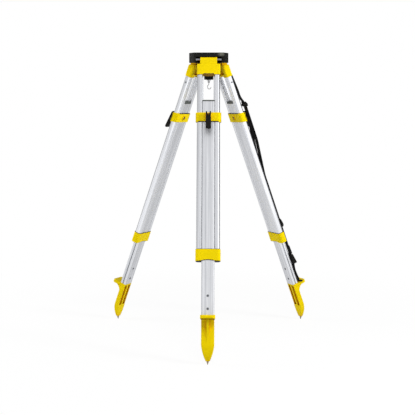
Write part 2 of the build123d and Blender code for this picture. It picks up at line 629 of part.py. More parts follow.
# Clamp yoke: the sides and the back, which stands higher, with a ring round the bolt's head
with BuildPart() as clamp_yoke:
    with BuildSketch(section(CLAMP_END)):
        RectangleRounded(CLAMP_WIDTH, CLAMP_DEPTH, CLAMP_CORNER + CLAMP_FACE_WALL)
    extrude(amount=CLAMP_HEIGHT + CLAMP_RISE)
    with BuildSketch(Plane.YZ):
        with BuildLine():
            Polyline(
                (-CLAMP_DEPTH / 2, -CLAMP_END),
                (-CLAMP_DEPTH / 2, -CLAMP_DROP),
                (CLAMP_DEPTH / 2, -CLAMP_DROP + CLAMP_RISE),
                (CLAMP_DEPTH / 2, -CLAMP_END + CLAMP_RISE),
                close=True,
            )
        make_face()
    extrude(amount=CLAMP_WIDTH / 2, both=True, mode=Mode.INTERSECT)
    fillet(edges() - edges().filter_by(Axis.Z), CLAMP_ROUND)
    with BuildSketch(section(CLAMP_END)):
        RectangleRounded(CLAMP_BORE_WIDTH, CLAMP_BORE_DEPTH, CLAMP_CORNER)
        with Locations((0, TUBE_DEPTH / 2)):
            Rectangle(CLAMP_PAD_WIDTH, CLAMP_PAD, align=(Align.CENTER, Align.MIN), mode=Mode.SUBTRACT)
        with Locations((0, SLIT_BACK)):
            Rectangle(CLAMP_WIDTH, CLAMP_DEPTH, align=(Align.CENTER, Align.MAX))
    extrude(amount=CLAMP_HEIGHT + CLAMP_RISE, mode=Mode.SUBTRACT)
    with BuildSketch(Plane.XZ):
        with Locations((0, -CLAMP_DROP + CLAMP_RISE)):
            Rectangle(CLAMP_NOTCH_WIDTH, 2 * CLAMP_NOTCH_HEIGHT)
        with Locations((0, -LEVER_PIVOT_DROP)):
            Circle(BOLT_RADIUS + SEAT_FIT)
    extrude(amount=-CLAMP_DEPTH, mode=Mode.SUBTRACT)
    with BuildSketch(Plane.XZ.offset(-CLAMP_DEPTH / 2)):
        with Locations((0, -LEVER_PIVOT_DROP)):
            Circle(CLAMP_BOSS_RADIUS)
            Circle(CLAMP_BOSS_RADIUS - CLAMP_BOSS_RIM, mode=Mode.SUBTRACT)
    extrude(amount=-CLAMP_BOSS_HEIGHT)
    fillet(faces().sort_by(Axis.Y)[-1].edges(), CLAMP_BOSS_ROUND)

# Clamp front: the plate that the lever presses, with the raised seat for its cams
with BuildPart() as clamp_front:
    with BuildSketch(section(CLAMP_END)):
        RectangleRounded(CLAMP_WIDTH, CLAMP_DEPTH, CLAMP_CORNER + CLAMP_FACE_WALL)
    extrude(amount=CLAMP_HEIGHT)
    fillet(edges().group_by(Axis.Z)[0] + edges().group_by(Axis.Z)[-1], CLAMP_ROUND)
    with BuildSketch(section(CLAMP_END)):
        RectangleRounded(CLAMP_BORE_WIDTH, CLAMP_BORE_DEPTH, CLAMP_CORNER)
        with Locations((0, -TUBE_DEPTH / 2)):
            Rectangle(CLAMP_PAD_WIDTH, CLAMP_PAD, align=(Align.CENTER, Align.MAX), mode=Mode.SUBTRACT)
        with Locations((0, SLIT_FRONT)):
            Rectangle(CLAMP_WIDTH, CLAMP_DEPTH, align=(Align.CENTER, Align.MIN))
    extrude(amount=CLAMP_HEIGHT, mode=Mode.SUBTRACT)
    with BuildSketch(Plane.XZ):
        with Locations((0, -CLAMP_END)):
            Rectangle(CLAMP_NOTCH_WIDTH, 2 * CLAMP_NOTCH_HEIGHT)
    extrude(amount=CLAMP_DEPTH, mode=Mode.SUBTRACT)
    with BuildSketch(section(CLAMP_DROP + CLAMP_NOTCH_HEIGHT)):
        with Locations((0, CAM_SEAT_FACE)):
            Rectangle(
                CAM_SEAT_WIDTH,
                CAM_SEAT_RAISE + CLAMP_FACE_WALL,
                align=(Align.CENTER, Align.MIN),
            )
    extrude(amount=-CAM_SEAT_HEIGHT)
    with BuildSketch(Plane.XZ):
        with Locations((0, -LEVER_PIVOT_DROP)):
            Circle(BOLT_RADIUS + SEAT_FIT)
    extrude(amount=LEVER_PIVOT_OUT, mode=Mode.SUBTRACT)

# Clamp bolt: a head at the back, a shank through the tube and the cross bar that the lever turns on
with BuildPart() as clamp_bolt:
    with BuildSketch(Plane.XZ.offset(-CLAMP_DEPTH / 2)):
        with Locations((0, -LEVER_PIVOT_DROP)):
            RegularPolygon(BOLT_HEAD_WIDTH / 2, 6)
    extrude(amount=-BOLT_HEAD_HEIGHT)
    chamfer(edges().group_by(Axis.Y)[-1], BOLT_HEAD_HEIGHT / 4)
    with BuildSketch(Plane.XZ.offset(-CLAMP_DEPTH / 2)):
        with Locations((0, -LEVER_PIVOT_DROP)):
            Circle(BOLT_RADIUS)
    extrude(amount=CLAMP_DEPTH / 2 + LEVER_PIVOT_OUT)
    with BuildSketch(Plane.YZ):
        with Locations((-LEVER_PIVOT_OUT, -LEVER_PIVOT_DROP)):
            Circle(BOLT_BAR_RADIUS)
    extrude(amount=LEVER_WIDTH / 2, both=True)

# Clamp lever, forked at the top, flaring away from the leg to a thick rounded end
with BuildPart() as clamp_lever:
    with BuildSketch(Plane.YZ):
        with Locations((-LEVER_PIVOT_OUT, -LEVER_PIVOT_DROP)):
            Circle(LEVER_CHEEK_RADIUS)
        with Locations((-LEVER_END_OUT, -LEVER_END_DROP)):
            Circle(LEVER_END_RADIUS)
        make_hull()
    extrude(amount=LEVER_WIDTH / 2, both=True)
    fillet(edges().group_by(Axis.X)[0] + edges().group_by(Axis.X)[-1], LEVER_ROUND)
    with BuildSketch(section(LEVER_PIVOT_DROP + LEVER_FORK_BELOW)):
        with Locations((0, -LEVER_PIVOT_OUT)):
            Rectangle(LEVER_FORK, 2 * LEVER_REACH)
    extrude(amount=LEVER_REACH, mode=Mode.SUBTRACT)
    with BuildSketch(Plane.YZ):
        with Locations((-LEVER_PIVOT_OUT, -LEVER_PIVOT_DROP)):
            Circle(BOLT_BAR_RADIUS + RUNNING_FIT)
    extrude(amount=LEVER_WIDTH / 2, both=True, mode=Mode.SUBTRACT)

# Pedal, a thick tread square to the leg that the foot is cast in one with
with BuildPart() as pedal:
    with BuildSketch(section(FOOT_DROP)):
        with BuildLine():
            pedal_root = TUBE_WIDTH / 2 - PEDAL_ROOT_INSET
            Polyline(
                (-pedal_root, 0),
                (-PEDAL_WIDTH / 2, -PEDAL_REACH),
                (PEDAL_WIDTH / 2, -PEDAL_REACH),
                (pedal_root, 0),
                close=True,
            )
        make_face()
        fillet(vertices().group_by(Axis.Y)[0], PEDAL_CORNER)
    extrude(amount=-PEDAL_THICKNESS)
    with BuildSketch(Plane.YZ):
        with Locations((0, -FOOT_DROP)):
            Rectangle(PEDAL_REACH, PEDAL_THICKNESS, align=(Align.MAX, Align.MAX))
        fillet(vertices().group_by(Axis.X)[0], PEDAL_ROUND)
    extrude(amount=PEDAL_WIDTH / 2, both=True, mode=Mode.INTERSECT)

# Foot: pedal, gusset, rib and tapering body, with a spigot up inside the tube
nose_middle = Vector(FOOT_NOSE_INWARD, -NOSE_DROP)
nose_half = Vector(LEAN_COS, LEAN_SIN) * (FOOT_NOSE_WIDTH / 2)
nose_back = nose_middle + nose_half
nose_front = nose_middle - nose_half
with BuildPart() as foot:
    with BuildSketch(Plane.YZ):
        with BuildLine():
            Polyline(
                (-FOOT_FACE, -STRAIGHT_DROP),
                (-FOOT_FACE, -FOOT_DROP),
                (FOOT_BACK, -FOOT_DROP),
                (FOOT_BACK, -STRAIGHT_DROP),
                (nose_back.X, nose_back.Y),
                (nose_front.X, nose_front.Y),
            )
            chord_middle = (nose_front + Vector(-FOOT_FACE, -STRAIGHT_DROP)) * 0.5
            ThreePointArc(
                (nose_front.X, nose_front.Y),
                (chord_middle.X - FOOT_ARCH_BULGE, chord_middle.Y),
                (-FOOT_FACE, -STRAIGHT_DROP),
            )
        make_face()
    extrude(amount=TUBE_WIDTH / 2, both=True)
    with BuildSketch(Plane.XZ):
        with BuildLine():
            arch_side = (TUBE_WIDTH + FOOT_NOSE_WIDTH) / 4 + FOOT_ARCH_BULGE
            arch_drop = (STRAIGHT_DROP + NOSE_DROP) / 2
            nose_end = NOSE_DROP + FOOT_NOSE_WIDTH / 2
            Polyline(
                (TUBE_WIDTH / 2, -STRAIGHT_DROP),
                (TUBE_WIDTH / 2, -FOOT_DROP),
                (-TUBE_WIDTH / 2, -FOOT_DROP),
                (-TUBE_WIDTH / 2, -STRAIGHT_DROP),
            )
            ThreePointArc(
                (-TUBE_WIDTH / 2, -STRAIGHT_DROP),
                (-arch_side, -arch_drop),
                (-FOOT_NOSE_WIDTH / 2, -nose_end),
            )
            Line((-FOOT_NOSE_WIDTH / 2, -nose_end), (FOOT_NOSE_WIDTH / 2, -nose_end))
            ThreePointArc(
                (FOOT_NOSE_WIDTH / 2, -nose_end),
                (arch_side, -arch_drop),
                (TUBE_WIDTH / 2, -STRAIGHT_DROP),
            )
        make_face()
    extrude(amount=PEDAL_REACH, both=True, mode=Mode.INTERSECT)
    fillet(edges().filter_by(Axis.Z), FOOT_ROUND)
    with BuildSketch(Plane.YZ):
        with BuildLine():
            rib_top = FOOT_DROP + PEDAL_THICKNESS / 2
            rib_end = STRAIGHT_DROP - FOOT_RIB_SHORT
            Polyline(
                (-FOOT_FACE, -rib_end),
                (0, -rib_end),
                (0, -rib_top),
                (-FOOT_RIB_REACH, -rib_top),
            )
            ThreePointArc(
                (-FOOT_RIB_REACH, -rib_top),
                (-(FOOT_RIB_REACH + FOOT_FACE) / 2 + FOOT_RIB_HOLLOW, -(rib_top + rib_end) / 2),
                (-FOOT_FACE, -rib_end),
            )
        make_face()
    extrude(amount=FOOT_RIB_WIDTH / 2, both=True)
    with BuildSketch(Plane.YZ):
        with BuildLine():
            gusset_top = FOOT_DROP + PEDAL_THICKNESS
            gusset_end = gusset_top + GUSSET_HEIGHT
            Polyline(
                (-FOOT_FACE, -gusset_end),
                (0, -gusset_end),
                (0, -gusset_top),
                (-GUSSET_OUT, -gusset_top),
            )
            ThreePointArc(
                (-GUSSET_OUT, -gusset_top),
                (
                    -(GUSSET_OUT + FOOT_FACE) / 2 + GUSSET_HOLLOW,
                    -(gusset_top + gusset_end) / 2 + GUSSET_HOLLOW,
                ),
                (-FOOT_FACE, -gusset_end),
            )
        make_face()
    extrude(amount=TUBE_WIDTH / 2 - GUSSET_INSET, both=True)
    add(pedal.part)
    with BuildSketch(section(FOOT_DROP)):
        Rectangle(SPIGOT_WIDTH, SPIGOT_DEPTH)
    extrude(amount=FOOT_SPIGOT)
    with BuildSketch(section(FOOT_DROP)):
        Rectangle(SPIGOT_WIDTH - 2 * SPIGOT_WALL, SPIGOT_DEPTH - 2 * SPIGOT_WALL)
    extrude(amount=FOOT_SPIGOT, mode=Mode.SUBTRACT)
    with BuildSketch(Plane.XZ.offset(-FOOT_BACK)):
        with Locations((0, -FOOT_DROP - FOOT_POCKET_TOP - FOOT_POCKET_HEIGHT / 2)):
            with GridLocations(FOOT_POCKET_WIDTH + FOOT_RIB_WIDTH, 0, 2, 1):
                RectangleRounded(FOOT_POCKET_WIDTH, FOOT_POCKET_HEIGHT, FOOT_POCKET_CORNER)
    extrude(amount=FOOT_POCKET_DEPTH, mode=Mode.SUBTRACT)
    with BuildSketch(Plane.XZ):
        with Locations(*RIVET_PLACES):
            Circle(FOOT_RIVET_RADIUS + SEAT_FIT)
    extrude(amount=TUBE_DEPTH, both=True, mode=Mode.SUBTRACT)
    with BuildSketch(Plane(origin=(0, nose_middle.X, nose_middle.Y), z_dir=(0, -LEAN_SIN, LEAN_COS))):
        Circle(POINT_SHANK_RADIUS + SEAT_FIT)
    extrude(amount=POINT_SHANK_LENGTH + SEAT_FIT, mode=Mode.SUBTRACT)

# Steel point, plumb when the leg stands at its lean
with BuildPart() as foot_point:
    with BuildSketch(Plane(origin=(0, nose_middle.X, nose_middle.Y), z_dir=(0, LEAN_SIN, -LEAN_COS))):
        Circle(POINT_RADIUS)
    with BuildSketch(
        Plane(
            origin=(
                0,
                nose_middle.X + POINT_LENGTH * LEAN_SIN,
                nose_middle.Y - POINT_LENGTH * LEAN_COS,
            ),
            z_dir=(0, LEAN_SIN, -LEAN_COS),
        )
    ):
        Circle(POINT_TIP_RADIUS)
    loft()
    with BuildSketch(Plane(origin=(0, nose_middle.X, nose_middle.Y), z_dir=(0, -LEAN_SIN, LEAN_COS))):
        Circle(POINT_SHANK_RADIUS)
    extrude(amount=POINT_SHANK_LENGTH)

# Two rivets through the tube and the foot's spigot
with BuildPart() as foot_rivets:
    with BuildSketch(Plane.XZ):
        with Locations(*RIVET_PLACES):
            Circle(FOOT_RIVET_RADIUS)
    extrude(amount=TUBE_DEPTH / 2, both=True)
    with BuildSketch(Plane.XZ.offset(TUBE_DEPTH / 2)):
        with Locations(*RIVET_PLACES):
            Circle(FOOT_RIVET_HEAD)
    extrude(amount=FOOT_RIVET_HEAD_HEIGHT)
    fillet(edges().group_by(Axis.Y)[0], FOOT_RIVET_HEAD_HEIGHT / 2)
    mirror(about=Plane.XZ)

# Upper webbing of the carrying strap: out from the bracket, through the slider and back to the rails
with BuildPart() as strap_upper:
    upper_lane = STRAP_UPPER_OUT + STRAP_THICKNESS / 2
    bow_top = SLIDER_DROP + SLIDER_BAR
    bow_start = bow_top - STRAP_BOW_RISE
    bow_end = bow_top + STRAP_BOW_RUN
    with BuildSketch(STRAP_EDGE):
        with BuildLine():
            FilletPolyline(
                (-upper_lane, -STRAP_UPPER_START),
                (-upper_lane, -STRAP_LIFT_START),
                (-STRAP_LIFT_OUT, -bow_start + STRAP_LIFT_RUN),
                (-STRAP_LIFT_OUT, -bow_start),
                (-STRAP_BOW_OUT, -bow_top),
                (-STRAP_BOW_OUT, -bow_end),
                (-upper_lane, -bow_end - STRAP_BOW_FALL),
                (-upper_lane, -STRAP_UPPER_END),
                radius=STRAP_BEND,
            )
        trace(line_width=STRAP_THICKNESS)
    extrude(amount=STRAP_WIDTH)

# Pads that carry the upper webbing's two ends
with BuildPart() as strap_anchors:
    with BuildSketch(section(STRAP_UPPER_START)):
        with Locations((-STRAP_SIDE, -BRACKET_DEPTH / 2)):
            Rectangle(
                STRAP_WIDTH,
                STRAP_UPPER_OUT - BRACKET_DEPTH / 2,
                align=(Align.CENTER, Align.MAX),
            )
    extrude(amount=-ANCHOR_LENGTH)
    with BuildSketch(section(STRAP_UPPER_END)):
        with Locations((-STRAP_SIDE, -COLLAR_DEPTH / 2)):
            Rectangle(
                STRAP_WIDTH,
                STRAP_UPPER_OUT - COLLAR_DEPTH / 2,
                align=(Align.CENTER, Align.MAX),
            )
    extrude(amount=ANCHOR_LENGTH)

# Lower webbing, slack below the slider and then flat down to the pedal
with BuildPart() as strap_lower:
    lane = STRAP_LOWER_OUT + STRAP_THICKNESS / 2
    slack_lane = SLIDER_INNER - 2 * SLIDE_FIT - STRAP_THICKNESS / 2
    slack_end = STRAP_LOWER_START + STRAP_SLACK_RUN
    with BuildSketch(STRAP_EDGE):
        with BuildLine():
            FilletPolyline(
                (-slack_lane, -STRAP_LOWER_START),
                (-slack_lane, -slack_end),
                (-lane, -slack_end - STRAP_SLACK_FALL),
                (-lane, -STRAP_LOWER_END),
                radius=STRAP_BEND,
            )
        trace(line_width=STRAP_THICKNESS)
    extrude(amount=STRAP_WIDTH)

# Slider: a bar and two cheeks round both webbings, closed behind them by a slim loop
with BuildPart() as strap_slider:
    slider_slot = STRAP_WIDTH + 2 * SLIDE_FIT
    slider_width = slider_slot + 2 * SLIDER_CHEEK
    slider_end = SLIDER_DROP + SLIDER_LENGTH
    with BuildSketch(Plane.YZ.offset(-STRAP_SIDE)):
        with BuildLine():
            Polyline(
                (-SLIDER_BACK, -SLIDER_DROP),
                (-SLIDER_OUT + SLIDER_TOP_SLOPE, -SLIDER_DROP),
                (-SLIDER_OUT, -SLIDER_DROP - SLIDER_TOP_LENGTH),
                (-SLIDER_OUT, -slider_end),
                (-SLIDER_BACK, -slider_end),
                close=True,
            )
        make_face()
        fillet(vertices(), SLIDER_ROUND)
    extrude(amount=slider_width / 2, both=True)
    with BuildSketch(section(SLIDER_DROP + (SLIDER_LENGTH - SLIDER_LOOP_LENGTH) / 2)):
        with Locations((-STRAP_SIDE, -SLIDER_LOOP_BACK + SLIDER_LOOP_WALL)):
            Rectangle(
                slider_width,
                SLIDER_INNER - SLIDER_LOOP_BACK + SLIDER_LOOP_WALL,
                align=(Align.CENTER, Align.MAX),
            )
    extrude(amount=-SLIDER_LOOP_LENGTH)
    with BuildSketch(section(SLIDER_DROP)):
        with Locations((-STRAP_SIDE, -SLIDER_LOOP_BACK)):
            Rectangle(slider_slot, SLIDER_INNER - SLIDER_LOOP_BACK, align=(Align.CENTER, Align.MAX))
    extrude(amount=-SLIDER_LENGTH, mode=Mode.SUBTRACT)


def draw_webbing_slot():
    """The slot that the lower webbing takes through a loop."""
    with Locations((-STRAP_SIDE, -STRAP_BACK)):
        Rectangle(STRAP_WIDTH + 2 * SEAT_FIT, STRAP_FRONT - STRAP_BACK, align=(Align.CENTER, Align.MAX))


# Keeper: a loop on the lower webbing with a humped face
with BuildPart() as strap_keeper:
    keeper_end = KEEPER_DROP + KEEPER_LENGTH
    keeper_back = STRAP_BACK - KEEPER_WALL
    with BuildSketch(Plane.YZ.offset(-STRAP_SIDE)):
        with BuildLine():
            Polyline(
                (-keeper_back, -KEEPER_DROP),
                (-STRAP_FRONT - KEEPER_WALL, -KEEPER_DROP),
                (-STRAP_FRONT - KEEPER_FACE, -KEEPER_DROP - KEEPER_TOP_LENGTH),
                (-STRAP_FRONT - KEEPER_FACE, -keeper_end + KEEPER_END_LENGTH),
                (-STRAP_FRONT - KEEPER_WALL, -keeper_end),
                (-keeper_back, -keeper_end),
                close=True,
            )
        make_face()
        fillet(vertices().group_by(Axis.X)[0], KEEPER_ROUND)
    extrude(amount=STRAP_WIDTH / 2 + KEEPER_CHEEK + SEAT_FIT, both=True)
    with BuildSketch(section(KEEPER_DROP)):
        draw_webbing_slot()
    extrude(amount=-KEEPER_LENGTH, mode=Mode.SUBTRACT)

# Buckle: a wedge that stands out further towards its lower end
with BuildPart() as strap_buckle:
    buckle_end = BUCKLE_DROP + BUCKLE_LENGTH
    with BuildSketch(Plane.YZ.offset(-STRAP_SIDE)):
        with BuildLine():
            Polyline(
                (-keeper_back, -BUCKLE_DROP),
                (-STRAP_FRONT - BUCKLE_TOP_FACE, -BUCKLE_DROP),
                (-STRAP_FRONT - BUCKLE_FACE, -buckle_end),
                (-keeper_back, -buckle_end),
                close=True,
            )
        make_face()
        fillet(vertices().group_by(Axis.X)[0] + vertices().group_by(Axis.X)[1], BUCKLE_ROUND)
    extrude(amount=STRAP_WIDTH / 2 + BUCKLE_CHEEK + SEAT_FIT, both=True)
    with BuildSketch(section(BUCKLE_DROP)):
        draw_webbing_slot()
    extrude(amount=-BUCKLE_LENGTH, mode=Mode.SUBTRACT)

# Tab on the pedal that the lower webbing's end is sewn to
with BuildPart() as strap_tab:
    with BuildSketch(STRAP_EDGE):
        with BuildLine():
            Polyline(
                (-keeper_back, -FOOT_DROP),
                (-keeper_back - STRAP_TAB_REACH, -FOOT_DROP),
                (-keeper_back - STRAP_TAB_REACH, -FOOT_DROP + 2 * KEEPER_WALL),
                (-STRAP_BACK, -FOOT_DROP + 2 * KEEPER_WALL),
                (-STRAP_BACK, -FOOT_DROP + STRAP_TAB_HEIGHT),
                (-keeper_back, -FOOT_DROP + STRAP_TAB_HEIGHT),
                close=True,
            )
        make_face()
    extrude(amount=STRAP_WIDTH)

# Every piece is placed and written out under its node's name
os.makedirs("parts", exist_ok=True)

HEAD_PIECES = {
    "head_plate": head_plate,
    "hinge_pins": hinge_pins,
    "guide_bush": guide_bush,
    "bush_circlip": bush_circlip,
    "fixing_screw": fixing_screw,
    "fixing_knob": fixing_knob,
    "hook_clevis": hook_clevis,
    "plumb_hook": plumb_hook,
}
LEG_PIECES = {
    "bracket": bracket,
    "rail_left": rail_left,
    "rail_right": rail_right,
    "rail_screws": rail_screws,
    "rail_plugs": rail_plugs,
    "lower_collar": lower_collar,
    "inner_tube": inner_tube,
    "tube_plug": tube_plug,
    "clamp_yoke": clamp_yoke,
    "clamp_front": clamp_front,
    "clamp_bolt": clamp_bolt,
    "clamp_lever": clamp_lever,
    "foot": foot,
    "foot_point": foot_point,
    "foot_rivets": foot_rivets,
}
STRAP_PIECES = {
    "strap_upper": strap_upper,
    "strap_anchors": strap_anchors,
    "strap_lower": strap_lower,
    "strap_slider": strap_slider,
    "strap_keeper": strap_keeper,
    "strap_buckle": strap_buckle,
    "strap_tab": strap_tab,
}
LEG_STAND = Location((0, -HINGE_RADIUS, -HINGE_DROP), (-LEG_LEAN, 0, 0))


def write_piece(piece, name):
    """Label a finished piece and write it."""
    piece.label = name
    export_step(piece, f"parts/{name}.step")


for name, piece in HEAD_PIECES.items():
    write_piece(piece.part, name)
for leg, turn in LEG_TURNS.items():
    stand = Location((0, 0, 0), (0, 0, turn)) * LEG_STAND
    for name, piece in LEG_PIECES.items():
        write_piece(piece.part.moved(stand), f"{leg}_leg_{name}")
strap_stand = Location((0, 0, 0), (0, 0, LEG_TURNS["right"])) * LEG_STAND
for name, piece in STRAP_PIECES.items():
    write_piece(piece.part.moved(strap_stand), name)
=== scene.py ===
import json
from math import pi, radians

import bmesh
import bpy
import numpy as np
from mathutils import Matrix, Vector


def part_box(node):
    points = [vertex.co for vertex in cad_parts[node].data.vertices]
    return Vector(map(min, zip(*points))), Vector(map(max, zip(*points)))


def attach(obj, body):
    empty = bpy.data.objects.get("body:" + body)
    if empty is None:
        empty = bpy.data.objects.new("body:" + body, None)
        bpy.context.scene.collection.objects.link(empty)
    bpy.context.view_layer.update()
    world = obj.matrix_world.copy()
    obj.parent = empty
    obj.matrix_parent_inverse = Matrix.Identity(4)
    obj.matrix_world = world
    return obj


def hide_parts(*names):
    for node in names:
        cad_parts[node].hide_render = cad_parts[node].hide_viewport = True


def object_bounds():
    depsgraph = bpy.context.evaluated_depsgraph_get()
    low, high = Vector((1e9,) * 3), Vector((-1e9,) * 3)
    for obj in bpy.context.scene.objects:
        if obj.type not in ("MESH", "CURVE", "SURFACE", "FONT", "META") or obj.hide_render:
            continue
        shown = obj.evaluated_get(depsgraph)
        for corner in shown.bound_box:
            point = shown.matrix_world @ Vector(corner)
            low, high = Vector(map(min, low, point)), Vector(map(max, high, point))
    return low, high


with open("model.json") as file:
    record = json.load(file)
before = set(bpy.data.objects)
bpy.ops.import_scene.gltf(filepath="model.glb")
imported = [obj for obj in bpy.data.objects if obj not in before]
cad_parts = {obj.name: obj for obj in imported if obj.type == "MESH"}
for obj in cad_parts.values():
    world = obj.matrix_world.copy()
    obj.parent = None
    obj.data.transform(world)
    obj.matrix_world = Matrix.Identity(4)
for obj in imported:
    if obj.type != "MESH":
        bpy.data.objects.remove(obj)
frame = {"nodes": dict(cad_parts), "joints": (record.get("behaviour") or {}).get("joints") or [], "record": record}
cad_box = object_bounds()

# Camera, from the photograph: place, tilt, turn and lens
CAMERA_DISTANCE = 3.4088
CAMERA_HEIGHT = -0.2139
CAMERA_TILT = 0.112
CAMERA_TURN = 0.009
FOCAL_PIXELS = 873.6
IMAGE_PIXELS = 415
SENSOR_WIDTH = 36.0
SIDE_SHIFT_PIXELS = 1.3
CAMERA_REACH = 100.0

# Fixing screw: standard thread of eleven turns to the inch
SCREW_RADIUS = 0.0079375
THREAD_PITCH = 0.0254 / 11
THREAD_DEPTH = 0.0013
SCREW_POINT = 0.0012
SCREW_POINT_SHARE = 0.16
COLLAR_HEIGHT = 0.003
COLLAR_SINK = 0.0003

# Webbing of the carrying strap, along the right leg
WEBBING_WIDTH = 0.022
WEBBING_THICKNESS = 0.0014
WEBBING_SIDE = -0.022
WEBBING_STEP = 0.002
WEBBING_EASE = 0.024
WEBBING_POINTS = 28
WEBBING_POWERS = (0.25, 0.7)
WEAVE_SCALE = (44.0, 900.0, 1.0)

# Each run of webbing goes through these places: distance outwards from the leg's middle, drop below its hinge
UPPER_RUN = [(0.0167, 0.038), (0.0167, 0.050), (0.0240, 0.1337), (0.0240, 0.1627), (0.0350, 0.1877),
             (0.0350, 0.2482), (0.0167, 0.3952), (0.0167, 0.772)]
LOWER_RUN = [(0.0372, 0.199), (0.0372, 0.348), (0.0199, 0.490), (0.0199, 0.893), (0.0148, 0.912),
             (0.0152, 0.934), (0.0184, 0.960), (0.0199, 0.974)]
TAB_OUT = 0.01845
TAB_TOP = 0.956
TAB_BEND = 0.0055
TAB_LEVEL = 0.98025
TAB_TIP = 0.0356
TAIL_TOP = 0.812
TAIL_END = 0.8485
TAIL_FACE = 0.0207
TAIL_BEND = 0.0014
TAIL_STEP = 0.006
TAIL_STACK = 1.05

# Stitching: threads in a box with a cross, at the ends of the webbing
STITCH_PITCH = 0.0031
STITCH_RADIUS = 0.00036
STITCH_GAP = 0.1
STITCH_SINK = 0.1
STITCH_THIN_END = 0.4
STITCH_BOX_WIDTH = 0.0166
STITCH_BOXES = {"strap_upper": [(0.0400, 0.0495), (0.7555, 0.7695)], "strap_lower": [(0.9595, 0.9715)]}

# Screw heads and grub screws; a head's fall, sink and cross are shares of its height and radius
HEAD_FALL = 0.6
HEAD_SINK = 0.3
CROSS_ARM = 0.17
CROSS_REACH = 0.6
CROSS_DEPTH = 0.7
RAIL_SCREW_SIDE = 0.043
RAIL_SCREW_DROP = 0.092
RAIL_SCREW_RADIUS = 0.0040
RAIL_SCREW_HEIGHT = 0.0018
RAIL_SCREW_CROWN = 4
FOOT_SCREW_OUT = 0.0123
FOOT_SCREW_DROPS = (0.909, 0.955)
FOOT_SCREW_RADIUS = 0.0046
FOOT_SCREW_HEIGHT = 0.0020
FOOT_SCREW_CROWN = 2
GRUB_BEARINGS = (-30, 90, 210)
GRUB_OUT = 0.07622
GRUB_LEVELS = (-0.0105, -0.0262)
GRUB_RADIUS = 0.0030
GRUB_HEIGHT = 0.0005
GRUB_SOCKET = 0.0017
GRUB_SOCKET_DEPTH = 0.0016

# Dark strips of painted shade in the clamp's notches and slits: both ends, then the section's two sizes
SHADE_STRIPS = [((-0.0366, 0.0140, 0.2567), (0.0366, 0.0140, 0.2567), (0.0016, 0.0024)),
          ((-0.0366, -0.0140, 0.2163), (0.0366, -0.0140, 0.2163), (0.0016, 0.0024)),
          ((-0.0442, 0.0097, 0.2225), (-0.0442, 0.0097, 0.2565), (0.0016, 0.0031)),
          ((0.0442, 0.0097, 0.2225), (0.0442, 0.0097, 0.2565), (0.0016, 0.0031))]
SHADE_STRIP_POINTS = 20
SHADE_STRIP_POWERS = (0.4, 0.4)

# Lower collar: dark beads of painted shade round the rails on its top, and along its arch below
TOP_SHADE_HALF_WIDTH = 0.0438
TOP_SHADE_HALF_DEPTH = 0.0135
TOP_SHADE_CORNER = 0.0098
TOP_SHADE_DROP = 0.7404
TOP_SHADE_SIZES = (0.0015, 0.0018)
TOP_SHADE_GAP = 0.0002
ARCH_RADIUS = 0.08936
ARCH_DROP = 0.7785
ARCH_SHADE_HALF_WIDTH = 0.0205
ARCH_SHADE_OUT = 0.01298
ARCH_SHADE_SIZES = (0.0011, 0.0022)
BEAD_POINTS = 16
BEAD_POWERS = (0.5, 0.5)

# Finishes: the noise's usual limits, and what the painted and the drawn surfaces share
NOISE_SPREAD = (0.3, 0.7)
MASK_SAMPLES = 8
STREAK_SQUEEZE = (1.0, 1.0, 0.006)
# Painted shade: the reach of the darkening in hollows, the slope from which faces that look down are darkened, and
# how much darker
HOLLOW_REACH = 0.04
UNDERSIDE_LIMIT = -0.65
UNDERSIDE_SHADE = 0.4
# A painted highlight on the head's front rim: its centre and its radii, in the head's own frame
HIGHLIGHT_SPOT_CENTRE = (0.049, -0.0537, -0.006)
HIGHLIGHT_SPOT_RADII = (0.02, 0.012, 0.011)

# Studio: brightness, where 1 is white, of the floor, of the soft light and of what reflections show
FLOOR_HALF_SIZE = 30.0
FLOOR_MATT = 0.6
FLOOR_MIRRORED_NEAR = 1.4
FLOOR_MIRRORED_FAR = 0.92
FLOOR_MIRROR_RUN = (-0.8, 0.2)
SHADOW_RUN = (0.4, 1.6)
SHADOW_CLEAR = 0.9
SKY_LOW = (0.3, 0.3, 0.31, 1.0)
SKY_HIGH = (0.4, 0.4, 0.4, 1.0)
FRONT_MIRRORED = 1.05
LEFT_MIRRORED = 0.8
WINDOW_MIRRORED = 1.9
LEFT_FLAG = 0.62
RIGHT_FLAG = 0.14

# Lamps: name, place, the point that each faces, side and watts
LAMPS = [("key_lamp", (3.0, -1.4, 0.8), (0, 0, -0.2), 0.7, 72.0),
         ("front_softbox", (0.3, -1.9, 1.0), (0, 0, 0), 1.0, 18.0),
         ("side_lamp", (-3.0, 0.2, 0.2), (0, 0, -0.4), 1.6, 52.0)]

LEGS = ("front", "right", "left")
JOINTS = {joint["name"]: joint for joint in frame["joints"]}


# Places on a leg

def leg_axes(leg):
    """A leg's hinge point and its unit directions: across, outwards and down."""
    spread = JOINTS[f"{leg}_leg_spread"]
    across = -np.array(spread["axis"], float)
    down = np.array(JOINTS[f"{leg}_leg_extend"]["axis"], float)
    across /= np.linalg.norm(across)
    down /= np.linalg.norm(down)
    return np.array(spread["pos_m"], float), across, np.cross(down, across), down


def placed(centre, directions, x, y, z):
    """Points in space: a centre plus each distance times its direction."""
    first, second, third = directions
    return centre + np.multiply.outer(x, first) + np.multiply.outer(y, second) + np.multiply.outer(z, third)


def on_leg(leg, across, out, drop):
    """Points on a leg: its hinge point plus each distance times its direction."""
    hinge, *directions = leg_axes(leg)
    return placed(hinge, directions, across, out, drop)


def smoothstep(value):
    """Zero below 0, one above 1, and 3t squared less 2t cubed between."""
    t = np.clip(value, 0, 1)
    return t * t * (3 - 2 * t)


def superellipse(count, sizes, powers):
    """A closed section: half of each size times the cosine or sine, its amount raised to a power."""
    turn = np.linspace(0, 2 * pi, count, endpoint=False)
    waves = np.stack([np.cos(turn), np.sin(turn)])
    shape = np.sign(waves) * np.abs(waves) ** np.array(powers)[:, None]
    return shape * np.array(sizes)[:, None] / 2


# Meshes

